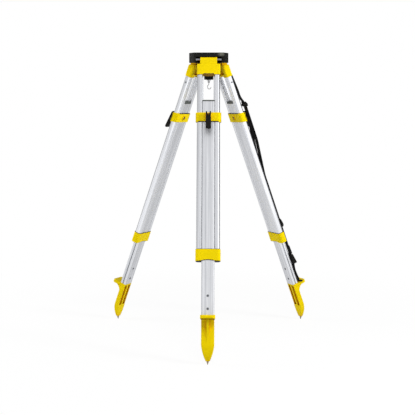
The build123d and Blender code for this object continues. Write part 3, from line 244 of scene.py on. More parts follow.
def stack_faces(count, around, start):
    """Quads between neighbouring rings of a stack, and a polygon over each end."""
    index = start + np.arange(count * around).reshape(count, around)
    turned = np.roll(index, -1, axis=1)
    quads = np.stack([index[:-1], turned[:-1], turned[1:], index[1:]], axis=-1).reshape(-1, 4)
    return quads.tolist() + [index[0, ::-1].tolist(), index[-1].tolist()]


def stack_map(along, around):
    """A map for a stack's faces: the way round the ring from 0 to 1, and the distance along the stack."""
    lengthwise = np.stack([along[:-1], along[:-1], along[1:], along[1:]], axis=-1)
    lengthwise = np.repeat(lengthwise[:, None], around, axis=1)
    share = np.arange(around) / around
    crosswise = np.stack([share, share + 1 / around, share + 1 / around, share], axis=-1)
    crosswise = np.repeat(crosswise[None], len(along) - 1, axis=0)
    sides = np.stack([crosswise, lengthwise], axis=-1).reshape(-1, 2)
    ends = np.repeat([[0.25, along[0]], [0.25, along[-1]]], around, axis=0)
    return np.concatenate([sides, ends])


def skin(name, stacks, along=None, smooth_angle=40):
    """Closed skins over stacks of rings, as one piece.

    Point j of ring i joins its neighbours round the ring and along the stack, and a polygon closes each end.
    Where the distance along a single stack is given, the piece has a map named webbing.
    """
    faces = []
    start = 0
    for rings in stacks:
        count, around = rings.shape[:2]
        faces += stack_faces(count, around, start)
        start += count * around
    mesh = bpy.data.meshes.new(name)
    mesh.from_pydata(np.concatenate([rings.reshape(-1, 3) for rings in stacks]).tolist(), [], faces)
    if along is not None:
        layer = mesh.uv_layers.new(name="webbing")
        layer.data.foreach_set("uv", stack_map(along, stacks[0].shape[1]).ravel())
    outward = bmesh.new()
    outward.from_mesh(mesh)
    bmesh.ops.recalc_face_normals(outward, faces=outward.faces)
    outward.to_mesh(mesh)
    outward.free()
    mesh.polygons.foreach_set("use_smooth", np.ones(len(mesh.polygons), bool))
    mesh.set_sharp_from_angle(angle=radians(smooth_angle))
    piece = bpy.data.objects.new(name, mesh)
    bpy.context.scene.collection.objects.link(piece)
    return piece


def eased_run(places):
    """A webbing's line: straight runs between its places, averaged over a short length to bend softly."""
    outs, drops = np.array(places).T
    line = np.arange(drops[0], drops[-1] + WEBBING_STEP / 2, WEBBING_STEP)
    half = int(WEBBING_EASE / WEBBING_STEP / 2)
    straight = np.pad(np.interp(line, drops, outs), half, mode="edge")
    return np.convolve(straight, np.full(2 * half + 1, 1 / (2 * half + 1)), "valid"), line


def webbing(name, leg, outs, drops):
    """A woven band along a leg: a flat superellipse section carried square to a line of outs and drops."""
    wide, thick = superellipse(WEBBING_POINTS, (WEBBING_WIDTH, WEBBING_THICKNESS), WEBBING_POWERS)
    step_out = np.gradient(outs)
    step_drop = np.gradient(drops)
    length = np.hypot(step_out, step_drop)
    ring_out = outs[:, None] + (step_drop / length)[:, None] * thick
    ring_across = np.broadcast_to(WEBBING_SIDE + wide, ring_out.shape)
    ring_drop = drops[:, None] - (step_out / length)[:, None] * thick
    along = np.concatenate([[0], np.cumsum(np.hypot(np.diff(outs), np.diff(drops)))])
    return skin(name, [on_leg(leg, ring_across, ring_out, ring_drop)], along), float(along[-1])


def stitch_row(start, end):
    """Evenly spaced stitches from one point to another, as their first and last points."""
    start, end = np.array(start), np.array(end)
    count = max(1, round(float(np.linalg.norm(end - start)) / STITCH_PITCH))
    first = (np.arange(count) + STITCH_GAP) / count
    last = (np.arange(count) + (1 - STITCH_GAP)) / count
    return start + np.multiply.outer(first, end - start), start + np.multiply.outer(last, end - start)


def stitched_boxes(name, leg, outs, drops, boxes):
    """Threads on a webbing's face: each is a spindle that swells by half a sine over its stitch's length."""
    half = STITCH_BOX_WIDTH / 2
    left, right = WEBBING_SIDE - half, WEBBING_SIDE + half
    rows = []
    for top, bottom in boxes:
        corners = [(left, top), (right, top), (right, bottom), (left, bottom)]
        rows += [stitch_row(corners[i], corners[(i + 1) % 4]) for i in range(4)]
        rows += [stitch_row(corners[0], corners[2]), stitch_row(corners[1], corners[3])]
    first = np.concatenate([row[0] for row in rows])
    last = np.concatenate([row[1] for row in rows])
    share = np.linspace(0, 1, 6)
    middle = first[:, None] + (last - first)[:, None] * share[None, :, None]
    heading = (last - first) / np.linalg.norm(last - first, axis=1)[:, None]
    turn = np.linspace(0, 2 * pi, 7, endpoint=False)
    swell = STITCH_RADIUS * (STITCH_THIN_END + (1 - STITCH_THIN_END) * np.sin(pi * share))
    across = middle[..., 0, None] - heading[:, None, None, 1] * swell[None, :, None] * np.cos(turn)
    drop = middle[..., 1, None] + heading[:, None, None, 0] * swell[None, :, None] * np.cos(turn)
    face = np.interp(drop, drops, outs) + WEBBING_THICKNESS / 2
    out = face + swell[None, :, None] * (np.sin(turn) - STITCH_SINK)
    return skin(name, list(on_leg(leg, across, out, drop)))


def threaded_screw(name):
    """The fixing screw: a lathe form whose radius dips by a triangle wave that climbs one pitch a turn."""
    low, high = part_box("fixing_screw")
    collar = high.x
    collar_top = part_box("guide_bush")[1].z - COLLAR_SINK
    collar_bottom = collar_top - COLLAR_HEIGHT
    shank_z = [low.z, collar_bottom, collar_bottom, collar_top, collar_top]
    shank_radius = [SCREW_RADIUS, SCREW_RADIUS, collar, collar, SCREW_RADIUS - THREAD_DEPTH]
    heights = np.linspace(collar_top, high.z, 130)
    z = np.concatenate([shank_z, heights])[:, None]
    base = np.concatenate([shank_radius, np.full(len(heights), SCREW_RADIUS)])[:, None]
    turn = np.linspace(0, 2 * pi, 64, endpoint=False)
    wave = np.abs(2 * ((z / THREAD_PITCH - turn / (2 * pi)) % 1) - 1)
    threaded = (np.arange(len(z)) >= len(shank_z))[:, None]
    point = np.clip((high.z - z) / SCREW_POINT, 0, 1)
    cone = SCREW_RADIUS * (1 - SCREW_POINT_SHARE * (1 - point))
    radius = np.where(threaded, np.minimum(base - THREAD_DEPTH * wave, cone), base)
    rings = np.stack(np.broadcast_arrays(radius * np.cos(turn), radius * np.sin(turn), z), axis=-1)
    return skin(name, [rings], smooth_angle=30)


def screw_head(centre, across, up, normal, radius, height, crown):
    """A head with a cross recess: a polar grid whose height is a dome less the two bars of a cross.

    The dome falls with the radius to the power of its crown: 2 is round and more is flatter.
    """
    share = np.concatenate([[1.0, 1.0], np.cos(np.linspace(0.2, pi / 2 - 0.02, 18))])
    turn = np.linspace(0, 2 * pi, 56, endpoint=False)
    dome = height * (1 - HEAD_FALL * share[:, None] ** crown)
    dome[0] = -height * HEAD_SINK
    x = radius * share[:, None] * np.cos(turn)
    y = radius * share[:, None] * np.sin(turn)
    arm, reach = radius * CROSS_ARM, radius * CROSS_REACH
    bar_x = smoothstep(2 * (arm - np.abs(y)) / arm) * smoothstep((reach - np.abs(x)) / arm)
    bar_y = smoothstep(2 * (arm - np.abs(x)) / arm) * smoothstep((reach - np.abs(y)) / arm)
    z = dome - np.maximum(bar_x, bar_y) * height * CROSS_DEPTH
    return placed(centre, (across, up, normal), x, y, z)


def grub_screw(centre, across, up, normal):
    """A grub screw's end: a polar grid that stands a little proud, with a hexagon socket let into it."""
    turn = np.linspace(0, 2 * pi, 48, endpoint=False)
    hexagon = GRUB_SOCKET * np.cos(pi / 6) / np.cos((turn + pi / 6) % (pi / 3) - pi / 6)
    rim = np.full_like(turn, GRUB_RADIUS)
    radius = np.stack([rim, rim, rim * 0.88, hexagon * 1.06, hexagon, hexagon * 0.96, hexagon * 0.1])
    height = np.array([-1.0, 0.4, 1.0, 1.0, 0.8, 0.0, 0.0]) * GRUB_HEIGHT
    height[-2:] = GRUB_HEIGHT - GRUB_SOCKET_DEPTH
    x = radius * np.cos(turn)
    y = radius * np.sin(turn)
    z = np.broadcast_to(height[:, None], x.shape)
    return placed(centre, (across, up, normal), x, y, z)


def shade_strip(leg, start, end, sizes):
    """A strip of painted shade on a clamp: a dark superellipse section carried straight from one end to the other.
    """
    sides = superellipse(SHADE_STRIP_POINTS, sizes, SHADE_STRIP_POWERS)
    start, end = np.array(start), np.array(end)
    along = int(np.argmax(np.abs(end - start)))
    first, second = [axis for axis in range(3) if axis != along]
    rings = np.broadcast_to(np.stack([start, end])[:, None], (2, SHADE_STRIP_POINTS, 3)).copy()
    rings[..., first] += sides[0]
    rings[..., second] += sides[1]
    return on_leg(leg, rings[..., 0], rings[..., 1], rings[..., 2])


def bead(leg, path, normals, sizes):
    """A bead along a path on a leg: a superellipse section, set out along the normals and the drop."""
    aside, below = superellipse(BEAD_POINTS, sizes, BEAD_POWERS)
    across = path[:, 0, None] + np.multiply.outer(normals[:, 0], aside)
    out = path[:, 1, None] + np.multiply.outer(normals[:, 1], aside)
    return on_leg(leg, across, out, path[:, 2, None] + np.broadcast_to(below, across.shape))


def collar_top_shade(leg):
    """Painted shade on a collar's top: a dark bead round a rounded rectangle, with a hair's gap where it meets."""
    turn = np.linspace(0, pi / 2, 9)
    angles = np.concatenate([pi / 2 - turn, -turn, -pi / 2 - turn, -pi - turn])
    normals = np.stack([np.cos(angles), np.sin(angles)], axis=-1)
    half = np.array([TOP_SHADE_HALF_WIDTH - TOP_SHADE_CORNER, TOP_SHADE_HALF_DEPTH - TOP_SHADE_CORNER])
    signs = np.repeat([[1, 1], [1, -1], [-1, -1], [-1, 1]], len(turn), axis=0)
    around = signs * half + TOP_SHADE_CORNER * normals
    ends = np.array([[TOP_SHADE_GAP / 2, TOP_SHADE_HALF_DEPTH], [-TOP_SHADE_GAP / 2, TOP_SHADE_HALF_DEPTH]])
    flat = np.concatenate([ends[:1], around, ends[1:]])
    normals = np.concatenate([[[0.0, 1.0]], normals, [[0.0, 1.0]]])
    return bead(leg, np.column_stack([flat, np.full(len(flat), TOP_SHADE_DROP)]), normals, TOP_SHADE_SIZES)


def collar_arch_shade(leg, side):
    """Painted shade under a collar's arch, on the tube's outer or inner face: a dark bead along a circle."""
    across = np.linspace(-ARCH_SHADE_HALF_WIDTH, ARCH_SHADE_HALF_WIDTH, 17)
    drop = ARCH_DROP + ARCH_RADIUS - np.sqrt(ARCH_RADIUS ** 2 - across ** 2) + ARCH_SHADE_SIZES[1] / 2
    path = np.column_stack([across, np.full(len(across), side * ARCH_SHADE_OUT), drop])
    return bead(leg, path, np.tile([0.0, 1.0], (len(across), 1)), ARCH_SHADE_SIZES)


# Shader helpers

def srgb(red, green, blue):
    """A colour as seen on screen, 0 to 255, as the linear values that shaders use."""
    seen = np.array([red, green, blue]) / 255
    linear = np.where(seen <= 0.04045, seen / 12.92, ((seen + 0.055) / 1.055) ** 2.4)
    return (*linear.tolist(), 1.0)


def grey(brightness):
    """A grey in the linear values that shaders use, where 1 is white."""
    return (brightness, brightness, brightness, 1.0)


def connect(tree, node, inputs):
    """Fill a node's inputs: sockets are linked, and other values are set as constants."""
    for key, value in inputs.items():
        if isinstance(value, bpy.types.NodeSocket):
            tree.links.new(value, node.inputs[key])
        else:
            node.inputs[key].default_value = value


def place(tree, kind, inputs=None, **attributes):
    """Add a node, with its attributes set and its inputs filled."""
    made = tree.nodes.new(kind)
    for key, value in attributes.items():
        setattr(made, key, value)
    connect(tree, made, inputs or {})
    return made


def own_place(tree):
    """Where a point is in its piece's own frame."""
    return place(tree, "ShaderNodeTexCoord").outputs["Object"]


def calculated(tree, operation, first, second):
    """A sum, product or the like of two values."""
    return place(tree, "ShaderNodeMath", {0: first, 1: second}, operation=operation).outputs[0]


def vector_calculated(tree, operation, first, second):
    """A sum, product or the like of two vectors, as a vector."""
    made = place(tree, "ShaderNodeVectorMath", {0: first, 1: second}, operation=operation)
    return made.outputs["Vector"]


def ranged(tree, value, start, end, low=0.0, high=1.0, curve="LINEAR"):
    """A value that runs from low to high as another runs from start to end, and stops at both."""
    spread = place(tree, "ShaderNodeMapRange", {"Value": value, "From Min": start, "From Max": end,
                                                "To Min": low, "To Max": high}, interpolation_type=curve)
    return spread.outputs["Result"]


def noise(tree, where, **settings):
    """Soft noise over some coordinates, which mostly keeps within NOISE_SPREAD."""
    return place(tree, "ShaderNodeTexNoise", {"Vector": where} | settings).outputs["Fac"]


def blend_colour(tree, share, first, second):
    """One colour that turns into another as a share goes from 0 to 1."""
    mixed = place(tree, "ShaderNodeMix", {"Factor": share, "A": first, "B": second}, data_type="RGBA")
    return mixed.outputs["Result"]


def bumped(tree, strength, depth, height, over=None):
    """A normal that leans with a height, on top of another normal where one is given."""
    inputs = {"Strength": strength, "Distance": depth, "Height": height}
    if over is not None:
        inputs["Normal"] = over
    return place(tree, "ShaderNodeBump", inputs).outputs["Normal"]


# Effects that several finishes share

def new_group(name, inputs, outputs):
    """An empty shader group with named sockets, given as (name, socket kind, default)."""
    tree = bpy.data.node_groups.new(name, "ShaderNodeTree")
    for label, kind, default in inputs:
        socket = tree.interface.new_socket(label, in_out="INPUT", socket_type=f"NodeSocket{kind}")
        socket.default_value = default
    for label, kind in outputs:
        tree.interface.new_socket(label, in_out="OUTPUT", socket_type=f"NodeSocket{kind}")
    return tree, tree.nodes.new("NodeGroupInput").outputs, tree.nodes.new("NodeGroupOutput")


def tone_drift_group():
    """Colour that drifts a little lighter and darker in soft clouds over the piece."""
    tree, given, out = new_group(
        "tone_drift", [("Colour", "Color", grey(1.0)), ("Drift", "Float", 0.05), ("Scale", "Float", 20.0)],
        [("Colour", "Color"), ("Cloud", "Float")])
    cloud = noise(tree, own_place(tree), Scale=given["Scale"], Detail=3.0)
    lowest = calculated(tree, "SUBTRACT", 1.0, given["Drift"])
    highest = calculated(tree, "ADD", 1.0, given["Drift"])
    shade = ranged(tree, cloud, *NOISE_SPREAD, lowest, highest)
    scaled = place(tree, "ShaderNodeVectorMath", {0: given["Colour"], "Scale": shade}, operation="SCALE")
    connect(tree, out, {"Colour": scaled.outputs["Vector"], "Cloud": cloud})
    return tree


def rounded_edge_group():
    """Edges as a real part has them: a normal that turns over a small radius, and a mask of the edges."""
    tree, given, out = new_group(
        "rounded_edge", [("Radius", "Float", 0.0008)], [("Normal", "Vector"), ("Edge", "Float")])
    soft = place(tree, "ShaderNodeBevel", {"Radius": given["Radius"]}, samples=MASK_SAMPLES).outputs["Normal"]
    true_normal = place(tree, "ShaderNodeNewGeometry").outputs["Normal"]
    match = place(tree, "ShaderNodeVectorMath", {0: soft, 1: true_normal}, operation="DOT_PRODUCT")
    connect(tree, out, {"Normal": soft, "Edge": ranged(tree, match.outputs["Value"], 0.99, 0.8)})
    return tree


def surface_grain_group():
    """Fine even grain, as moulded plastic and sprayed paint have, as a height."""
    tree, given, out = new_group("surface_grain", [("Scale", "Float", 900.0)], [("Height", "Float")])
    grain = noise(tree, own_place(tree), Scale=given["Scale"], Detail=2.0, Roughness=0.6)
    connect(tree, out, {"Height": grain})
    return tree


def drawn_streaks_group():
    """Die lines of an extrusion: noise stretched along Z of the coordinates that it is given."""
    tree, given, out = new_group(
        "drawn_streaks", [("Vector", "Vector", (0, 0, 0)), ("Density", "Float", 400.0)],
        [("Streak", "Float")])
    squeezed = vector_calculated(tree, "MULTIPLY", given["Vector"], STREAK_SQUEEZE)
    streak = noise(tree, squeezed, Scale=given["Density"], Detail=4.0, Roughness=0.65)
    connect(tree, out, {"Streak": streak})
    return tree


def worn_patches_group():
    """A mask of small worn or dusty patches: high-contrast noise, stronger where a second noise allows it."""
    tree, given, out = new_group(
        "worn_patches", [("Scale", "Float", 90.0), ("Amount", "Float", 0.4)], [("Mask", "Float")])
    where = own_place(tree)
    patch = ranged(tree, noise(tree, where, Scale=given["Scale"], Detail=5.0, Roughness=0.7), 0.52, 0.68)
    broad = ranged(tree, noise(tree, where, Scale=9.0, Detail=1.0), 0.4, 0.65)
    both = calculated(tree, "MULTIPLY", patch, broad)
    connect(tree, out, {"Mask": calculated(tree, "MULTIPLY", both, given["Amount"])})
    return tree


def hollow_shade_mask_group():
    """A mask for the painted shade of a piece's hollows: how much of the space in front of a point is closed in.
    """
    tree, given, out = new_group("recess", [("Distance", "Float", 0.04)], [("Hollow", "Float")])
    open_share = place(tree, "ShaderNodeAmbientOcclusion", {"Distance": given["Distance"]},
                       samples=MASK_SAMPLES).outputs["AO"]
    connect(tree, out, {"Hollow": ranged(tree, open_share, 0.85, 0.25)})
    return tree


def underside_shade_mask_group():
    """A mask for painted shade on the faces that look down at rest, from the normal's height in the piece's own
    frame.
    """
    tree, given, out = new_group("underside", [("Limit", "Float", -0.65)], [("Under", "Float")])
    normal = place(tree, "ShaderNodeNewGeometry").outputs["Normal"]
    own = place(tree, "ShaderNodeVectorTransform", {"Vector": normal}, vector_type="NORMAL",
                convert_from="WORLD", convert_to="OBJECT")
    height = place(tree, "ShaderNodeSeparateXYZ", {"Vector": own.outputs["Vector"]}).outputs["Z"]
    connect(tree, out, {"Under": ranged(tree, height, given["Limit"], -0.9)})
    return tree


TONE_DRIFT = tone_drift_group()
ROUNDED_EDGE = rounded_edge_group()
SURFACE_GRAIN = surface_grain_group()
DRAWN_STREAKS = drawn_streaks_group()
WORN_PATCHES = worn_patches_group()
HOLLOW_SHADE_MASK = hollow_shade_mask_group()
UNDERSIDE_SHADE_MASK = underside_shade_mask_group()


# Finishes

def new_material(name, **constants):
    """A material with an empty tree, its shader with plain values set on it, and its output."""
    material = bpy.data.materials.new(name)
    material.use_nodes = True
    tree = material.node_tree
    tree.nodes.clear()
    shader = tree.nodes.new("ShaderNodeBsdfPrincipled")
    for key, value in constants.items():
        shader.inputs[key.replace("_", " ")].default_value = value
    place(tree, "ShaderNodeOutputMaterial", {"Surface": shader.outputs["BSDF"]})
    return material, tree, shader


def grouped(tree, group, inputs):
    """A group placed in a material with its inputs filled, as its outputs."""
    return place(tree, "ShaderNodeGroup", inputs, node_tree=group).outputs


def coated(name, colours, roughness, specular, grain, edge_radius, drift, wear):
    """A painted or moulded finish: drifting colour, grain, rubbed edges, worn patches, and painted shade in
    hollows and on faces that look down.

    The colours are those of the faces, the rubbed edges, the worn patches and the painted shade of the hollows;
    faces that look down take a darker painted shade.
    """
    material, tree, shader = new_material(name, Specular_IOR_Level=specular)
    face, rim, patchy, hollow_shade = colours
    grain_scale, grain_depth = grain
    tone = grouped(tree, TONE_DRIFT, {"Colour": face, "Drift": drift, "Scale": 18.0})
    edge = grouped(tree, ROUNDED_EDGE, {"Radius": edge_radius})
    fine = grouped(tree, SURFACE_GRAIN, {"Scale": grain_scale})
    patch = grouped(tree, WORN_PATCHES, {"Scale": 120.0, "Amount": wear})
    recess = grouped(tree, HOLLOW_SHADE_MASK, {"Distance": HOLLOW_REACH})
    under = grouped(tree, UNDERSIDE_SHADE_MASK, {"Limit": UNDERSIDE_LIMIT})
    rub = calculated(tree, "MULTIPLY", edge["Edge"], tone["Cloud"])
    rubbed = blend_colour(tree, rub, tone["Colour"], rim)
    worn = blend_colour(tree, patch["Mask"], rubbed, patchy)
    # Painted shade: darker in hollows, and darker still on faces that look down
    hollow_shaded = blend_colour(tree, recess["Hollow"], worn, hollow_shade)
    underside_shade_colour = tuple(UNDERSIDE_SHADE * value for value in hollow_shade[:3]) + (1.0,)
    connect(tree, shader, {
        "Base Color": blend_colour(tree, under["Under"], hollow_shaded, underside_shade_colour),
        "Roughness": ranged(tree, tone["Cloud"], *NOISE_SPREAD, roughness - 0.05, roughness + 0.06),
        "Normal": bumped(tree, 0.35, grain_depth, fine["Height"], edge["Normal"])})
    return material


def painted_highlight_spot(material, centre, radii, colour):
    """Add a painted highlight to a finish: a paler spot, strongest at its centre and gone at its radii."""
    tree = material.node_tree
    shader = next(node for node in tree.nodes if node.type == "BSDF_PRINCIPLED")
    under = shader.inputs["Base Color"].links[0].from_socket
    apart = vector_calculated(tree, "SUBTRACT", own_place(tree), centre)
    scaled = vector_calculated(tree, "DIVIDE", apart, radii)
    reach = place(tree, "ShaderNodeVectorMath", {0: scaled}, operation="LENGTH").outputs["Value"]
    share = ranged(tree, reach, 0.0, 1.0, 0.95, 0.0, curve="SMOOTHSTEP")
    connect(tree, shader, {"Base Color": blend_colour(tree, share, under, colour)})


def extruded_aluminium(name, leg, roughness):
    """Anodised rails and tubes: die lines that run down the leg, in colour, gloss and height."""
    material, tree, shader = new_material(name, Metallic=1.0)
    across, out, down = leg_axes(leg)[1:]
    turn = Matrix([across, -out, -down]).to_euler()
    turned = place(tree, "ShaderNodeMapping", {"Vector": own_place(tree), "Rotation": turn},
                   vector_type="POINT")
    along_leg = turned.outputs["Vector"]
    fine = grouped(tree, DRAWN_STREAKS, {"Vector": along_leg, "Density": 900.0})
    broad = grouped(tree, DRAWN_STREAKS, {"Vector": along_leg, "Density": 160.0})
    edge = grouped(tree, ROUNDED_EDGE, {"Radius": 0.0026})
    patch = grouped(tree, WORN_PATCHES, {"Scale": 260.0, "Amount": 0.25})
    both = calculated(tree, "ADD", fine["Streak"], broad["Streak"])
    drawn = blend_colour(tree, ranged(tree, both, 0.75, 1.25), srgb(186, 188, 193), srgb(236, 237, 240))
    connect(tree, shader, {
        "Base Color": blend_colour(tree, patch["Mask"], drawn, srgb(170, 171, 174)),
        "Roughness": ranged(tree, broad["Streak"], *NOISE_SPREAD, roughness - 0.04, roughness + 0.06),
        "Normal": bumped(tree, 0.2, 0.00005, fine["Streak"], edge["Normal"])})
    return material


def steel(name, colour, drift, roughness):
    """A steel part: a metal with cloudy tone and gloss, fine grain and rounded edges."""
    material, tree, shader = new_material(name, Metallic=1.0)
    tone = grouped(tree, TONE_DRIFT, {"Colour": colour, "Drift": drift, "Scale": 160.0})
    edge = grouped(tree, ROUNDED_EDGE, {"Radius": 0.0004})
    fine = grouped(tree, SURFACE_GRAIN, {"Scale": 1500.0})
    connect(tree, shader, {
        "Base Color": tone["Colour"],
        "Roughness": ranged(tree, tone["Cloud"], *NOISE_SPREAD, roughness - 0.07, roughness + 0.1),
        "Normal": bumped(tree, 0.15, 0.00004, fine["Height"], edge["Normal"])})
    return material


def woven_webbing():
    """Woven nylon: a herringbone of ribs across the band, from its own map."""
    material, tree, shader = new_material(
        "woven_webbing", Roughness=0.8, Sheen_Weight=0.04, Specular_IOR_Level=0.12)
    where = place(tree, "ShaderNodeUVMap", uv_map="webbing").outputs["UV"]
    scaled = place(tree, "ShaderNodeMapping", {"Vector": where, "Scale": WEAVE_SCALE}).outputs["Vector"]
    parts = place(tree, "ShaderNodeSeparateXYZ", {"Vector": scaled}).outputs
    zigzag = calculated(tree, "PINGPONG", parts["X"], 1.0)
    slant = calculated(tree, "ADD", parts["Y"], zigzag)
    wave = calculated(tree, "PINGPONG", slant, 0.5)
    rib = ranged(tree, wave, 0.0, 0.5, curve="SMOOTHSTEP")
    tone = grouped(tree, TONE_DRIFT, {"Colour": srgb(23, 23, 24), "Drift": 0.3, "Scale": 60.0})
    connect(tree, shader, {
        "Base Color": blend_colour(tree, rib, srgb(12, 12, 13), tone["Colour"]),
        "Normal": bumped(tree, 0.5, 0.0002, rib)})
    return material


def strap_thread():
    """Sewing thread: dark, with a slow change of tone from stitch to stitch."""
    material, tree, shader = new_material("strap_thread", Roughness=0.7, Specular_IOR_Level=0.25)
    tone = grouped(tree, TONE_DRIFT, {"Colour": srgb(58, 58, 60), "Drift": 0.25, "Scale": 300.0})
    connect(tree, shader, {"Base Color": tone["Colour"]})
    return material


# A coated finish's colours: face, rubbed edge and worn patch, then the painted shade of its hollows
CAST_YELLOW = (srgb(243, 214, 3), srgb(246, 220, 30), srgb(206, 166, 14))
CAST_SURFACE = {"roughness": 0.45, "specular": 0.06, "grain": (420.0, 0.0001), "edge_radius": 0.0012,
                "drift": 0.05, "wear": 0.25}
FINISHES = {
    "black_casting": coated(
        "black_head_paint", (srgb(16, 16, 13), srgb(60, 62, 56), srgb(40, 42, 38), srgb(12, 11, 8)),
        roughness=0.34, specular=0.12, grain=(700.0, 0.00012), edge_radius=0.0015, drift=0.14, wear=0.35),
    "yellow_casting": coated("yellow_cast_paint", (*CAST_YELLOW, srgb(240, 178, 4)), **CAST_SURFACE),
    "yellow_plastic": coated(
        "yellow_moulding", (srgb(245, 217, 2), srgb(247, 222, 30), srgb(218, 182, 12), srgb(238, 184, 4)),
        roughness=0.42, specular=0.06, grain=(800.0, 0.00005), edge_radius=0.0009, drift=0.04, wear=0.2),
    "black_plastic": coated(
        "black_moulding", (srgb(19, 18, 16), srgb(50, 49, 46), srgb(38, 37, 34), srgb(12, 12, 11)),
        roughness=0.5, specular=0.1, grain=(1100.0, 0.00008), edge_radius=0.0008, drift=0.18, wear=0.3),
    "steel": steel("plated_steel", srgb(166, 167, 170), 0.12, 0.32),
    "webbing": woven_webbing(),
}
# The head's front rim takes a painted highlight near its right corner
painted_highlight_spot(FINISHES["black_casting"], HIGHLIGHT_SPOT_CENTRE, HIGHLIGHT_SPOT_RADII, srgb(112, 112, 102))
RAIL_ALUMINIUM = {leg: extruded_aluminium(f"{leg}_rail_aluminium", leg, 0.24) for leg in LEGS}
TUBE_ALUMINIUM = {leg: extruded_aluminium(f"{leg}_tube_aluminium", leg, 0.44) for leg in LEGS}
PIN_STEEL = steel("bright_pin_steel", srgb(128, 130, 138), 0.1, 0.24)
DARK_STEEL = steel("blackened_steel", srgb(74, 75, 78), 0.2, 0.3)
GOLDEN_STEEL = steel("yellow_plated_steel", srgb(132, 100, 48), 0.18, 0.42)
WORN_STEEL = steel("worn_point_steel", srgb(138, 124, 104), 0.25, 0.42)
GREY_STEEL = steel("grey_screw_steel", srgb(156, 158, 162), 0.14, 0.22)
FOOT_STEEL = steel("dull_foot_steel", srgb(124, 126, 130), 0.16, 0.28)
# The feet take a darker painted shade in their hollows than the other castings
FOOT_PAINT = coated("yellow_foot_paint", (*CAST_YELLOW, srgb(216, 154, 4)), **CAST_SURFACE)
# Painted shade: the dark brown of the strips and beads put in the gaps at the clamps and collars
GAP_SHADE_PAINT = coated(
    "painted_gap_shade", (srgb(58, 44, 12), srgb(92, 74, 26), srgb(44, 34, 12), srgb(34, 26, 8)),
    roughness=0.6, specular=0.1, grain=(900.0, 0.00006), edge_radius=0.0006, drift=0.15, wear=0.2)
GREY_PLUG = coated(
    "grey_plug_moulding", (srgb(84, 88, 84), srgb(120, 124, 120), srgb(70, 72, 68), srgb(52, 54, 52)),
    roughness=0.5, specular=0.2, grain=(1100.0, 0.00008), edge_radius=0.0008, drift=0.1, wear=0.3)
THREAD = strap_thread()
OWN_FINISHES = {
    "hinge_pins": PIN_STEEL,
    "clamp_bolt": GOLDEN_STEEL,
    "leg_foot": FOOT_PAINT,
    "foot_point": WORN_STEEL,
    "tube_plug": GREY_PLUG,
}


# Pieces

def dress_nodes():
    """Every solid takes its slot's finish, rails and tubes their leg's, and some pieces one of their own."""
    slots = {part["node"]: part["material_slot"] for part in frame["record"]["subparts"]}
    for name, piece in frame["nodes"].items():
        slot = slots[name]
        finish = FINISHES.get(slot)
        if slot == "aluminium":
            drawn = TUBE_ALUMINIUM if name.endswith("tube") else RAIL_ALUMINIUM
            finish = drawn[name.split("_")[0]]
        own = [OWN_FINISHES[kind] for kind in OWN_FINISHES if name.endswith(kind)]
        piece.material_slots[0].material = own[0] if own else finish


def finish_piece(piece, slot, body, material=None):
    """A new piece takes a slot's finish, or one of its own, and rides on a body."""
    piece.data.materials.append(material or FINISHES[slot])
    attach(piece, body)


def make_upper_run():
    """The strap's upper run, fixed to the leg, which bows out through the slider."""
    outs, drops = eased_run(UPPER_RUN)
    upper, length = webbing("strap_upper_webbing", "right", outs, drops)
    finish_piece(upper, "webbing", "right_leg")
    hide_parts("strap_upper")
    threads = stitched_boxes("strap_upper_stitching", "right", outs, drops, STITCH_BOXES["strap_upper"])
    finish_piece(threads, "webbing", "right_leg", THREAD)


def make_lower_run():
    """The strap's lower run, from the slider down to the buckle, which moves with the inner tube."""
    outs, drops = eased_run(LOWER_RUN)
    lower, length = webbing("strap_lower_webbing", "right", outs, drops)
    finish_piece(lower, "webbing", "right_tube")
    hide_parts("strap_lower")
    threads = stitched_boxes("strap_lower_stitching", "right", outs, drops, STITCH_BOXES["strap_lower"])
    finish_piece(threads, "webbing", "right_tube", THREAD)


def make_tab():
    """The strap's tab on the foot: straight down, round a quarter circle and out along the pedal."""
    bend = np.linspace(0, pi / 2, 14)
    bend_drop = TAB_LEVEL - TAB_BEND
    straight = np.arange(TAB_TOP, bend_drop, WEBBING_STEP)
    flat = np.arange(TAB_OUT + TAB_BEND + WEBBING_STEP, TAB_TIP, WEBBING_STEP)
    outs = np.concatenate([np.full(len(straight), TAB_OUT), TAB_OUT + TAB_BEND * (1 - np.cos(bend)), flat])
    drops = np.concatenate([straight, bend_drop + TAB_BEND * np.sin(bend), np.full(len(flat), TAB_LEVEL)])
    tab, length = webbing("strap_tab_webbing", "right", outs, drops)
    finish_piece(tab, "webbing", "right_tube")
    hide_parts("strap_tab")


def make_tail():
    """The strap's loose end: down the lower run, round a half circle and back up over itself."""
    turn = np.linspace(0, pi, 15)
    inner = TAIL_FACE + WEBBING_THICKNESS / 2
    fold = TAIL_END - TAIL_BEND - WEBBING_THICKNESS / 2
    down = np.arange(TAIL_TOP + TAIL_STEP, fold, WEBBING_STEP / 2)
    back = np.arange(fold, TAIL_TOP, -WEBBING_STEP / 2)
    stack = TAIL_STACK * WEBBING_THICKNESS
    lift = 2 * TAIL_BEND - stack
    outer = inner + stack + lift * smoothstep((back - TAIL_TOP) / (fold - TAIL_TOP))
    outs = np.concatenate([np.full(len(down), inner), inner + TAIL_BEND * (1 - np.cos(turn)), outer[1:]])
    drops = np.concatenate([down, fold + TAIL_BEND * np.sin(turn), back[1:]])
    tail, length = webbing("strap_tail_webbing", "right", outs, drops)
    finish_piece(tail, "webbing", "right_tube")


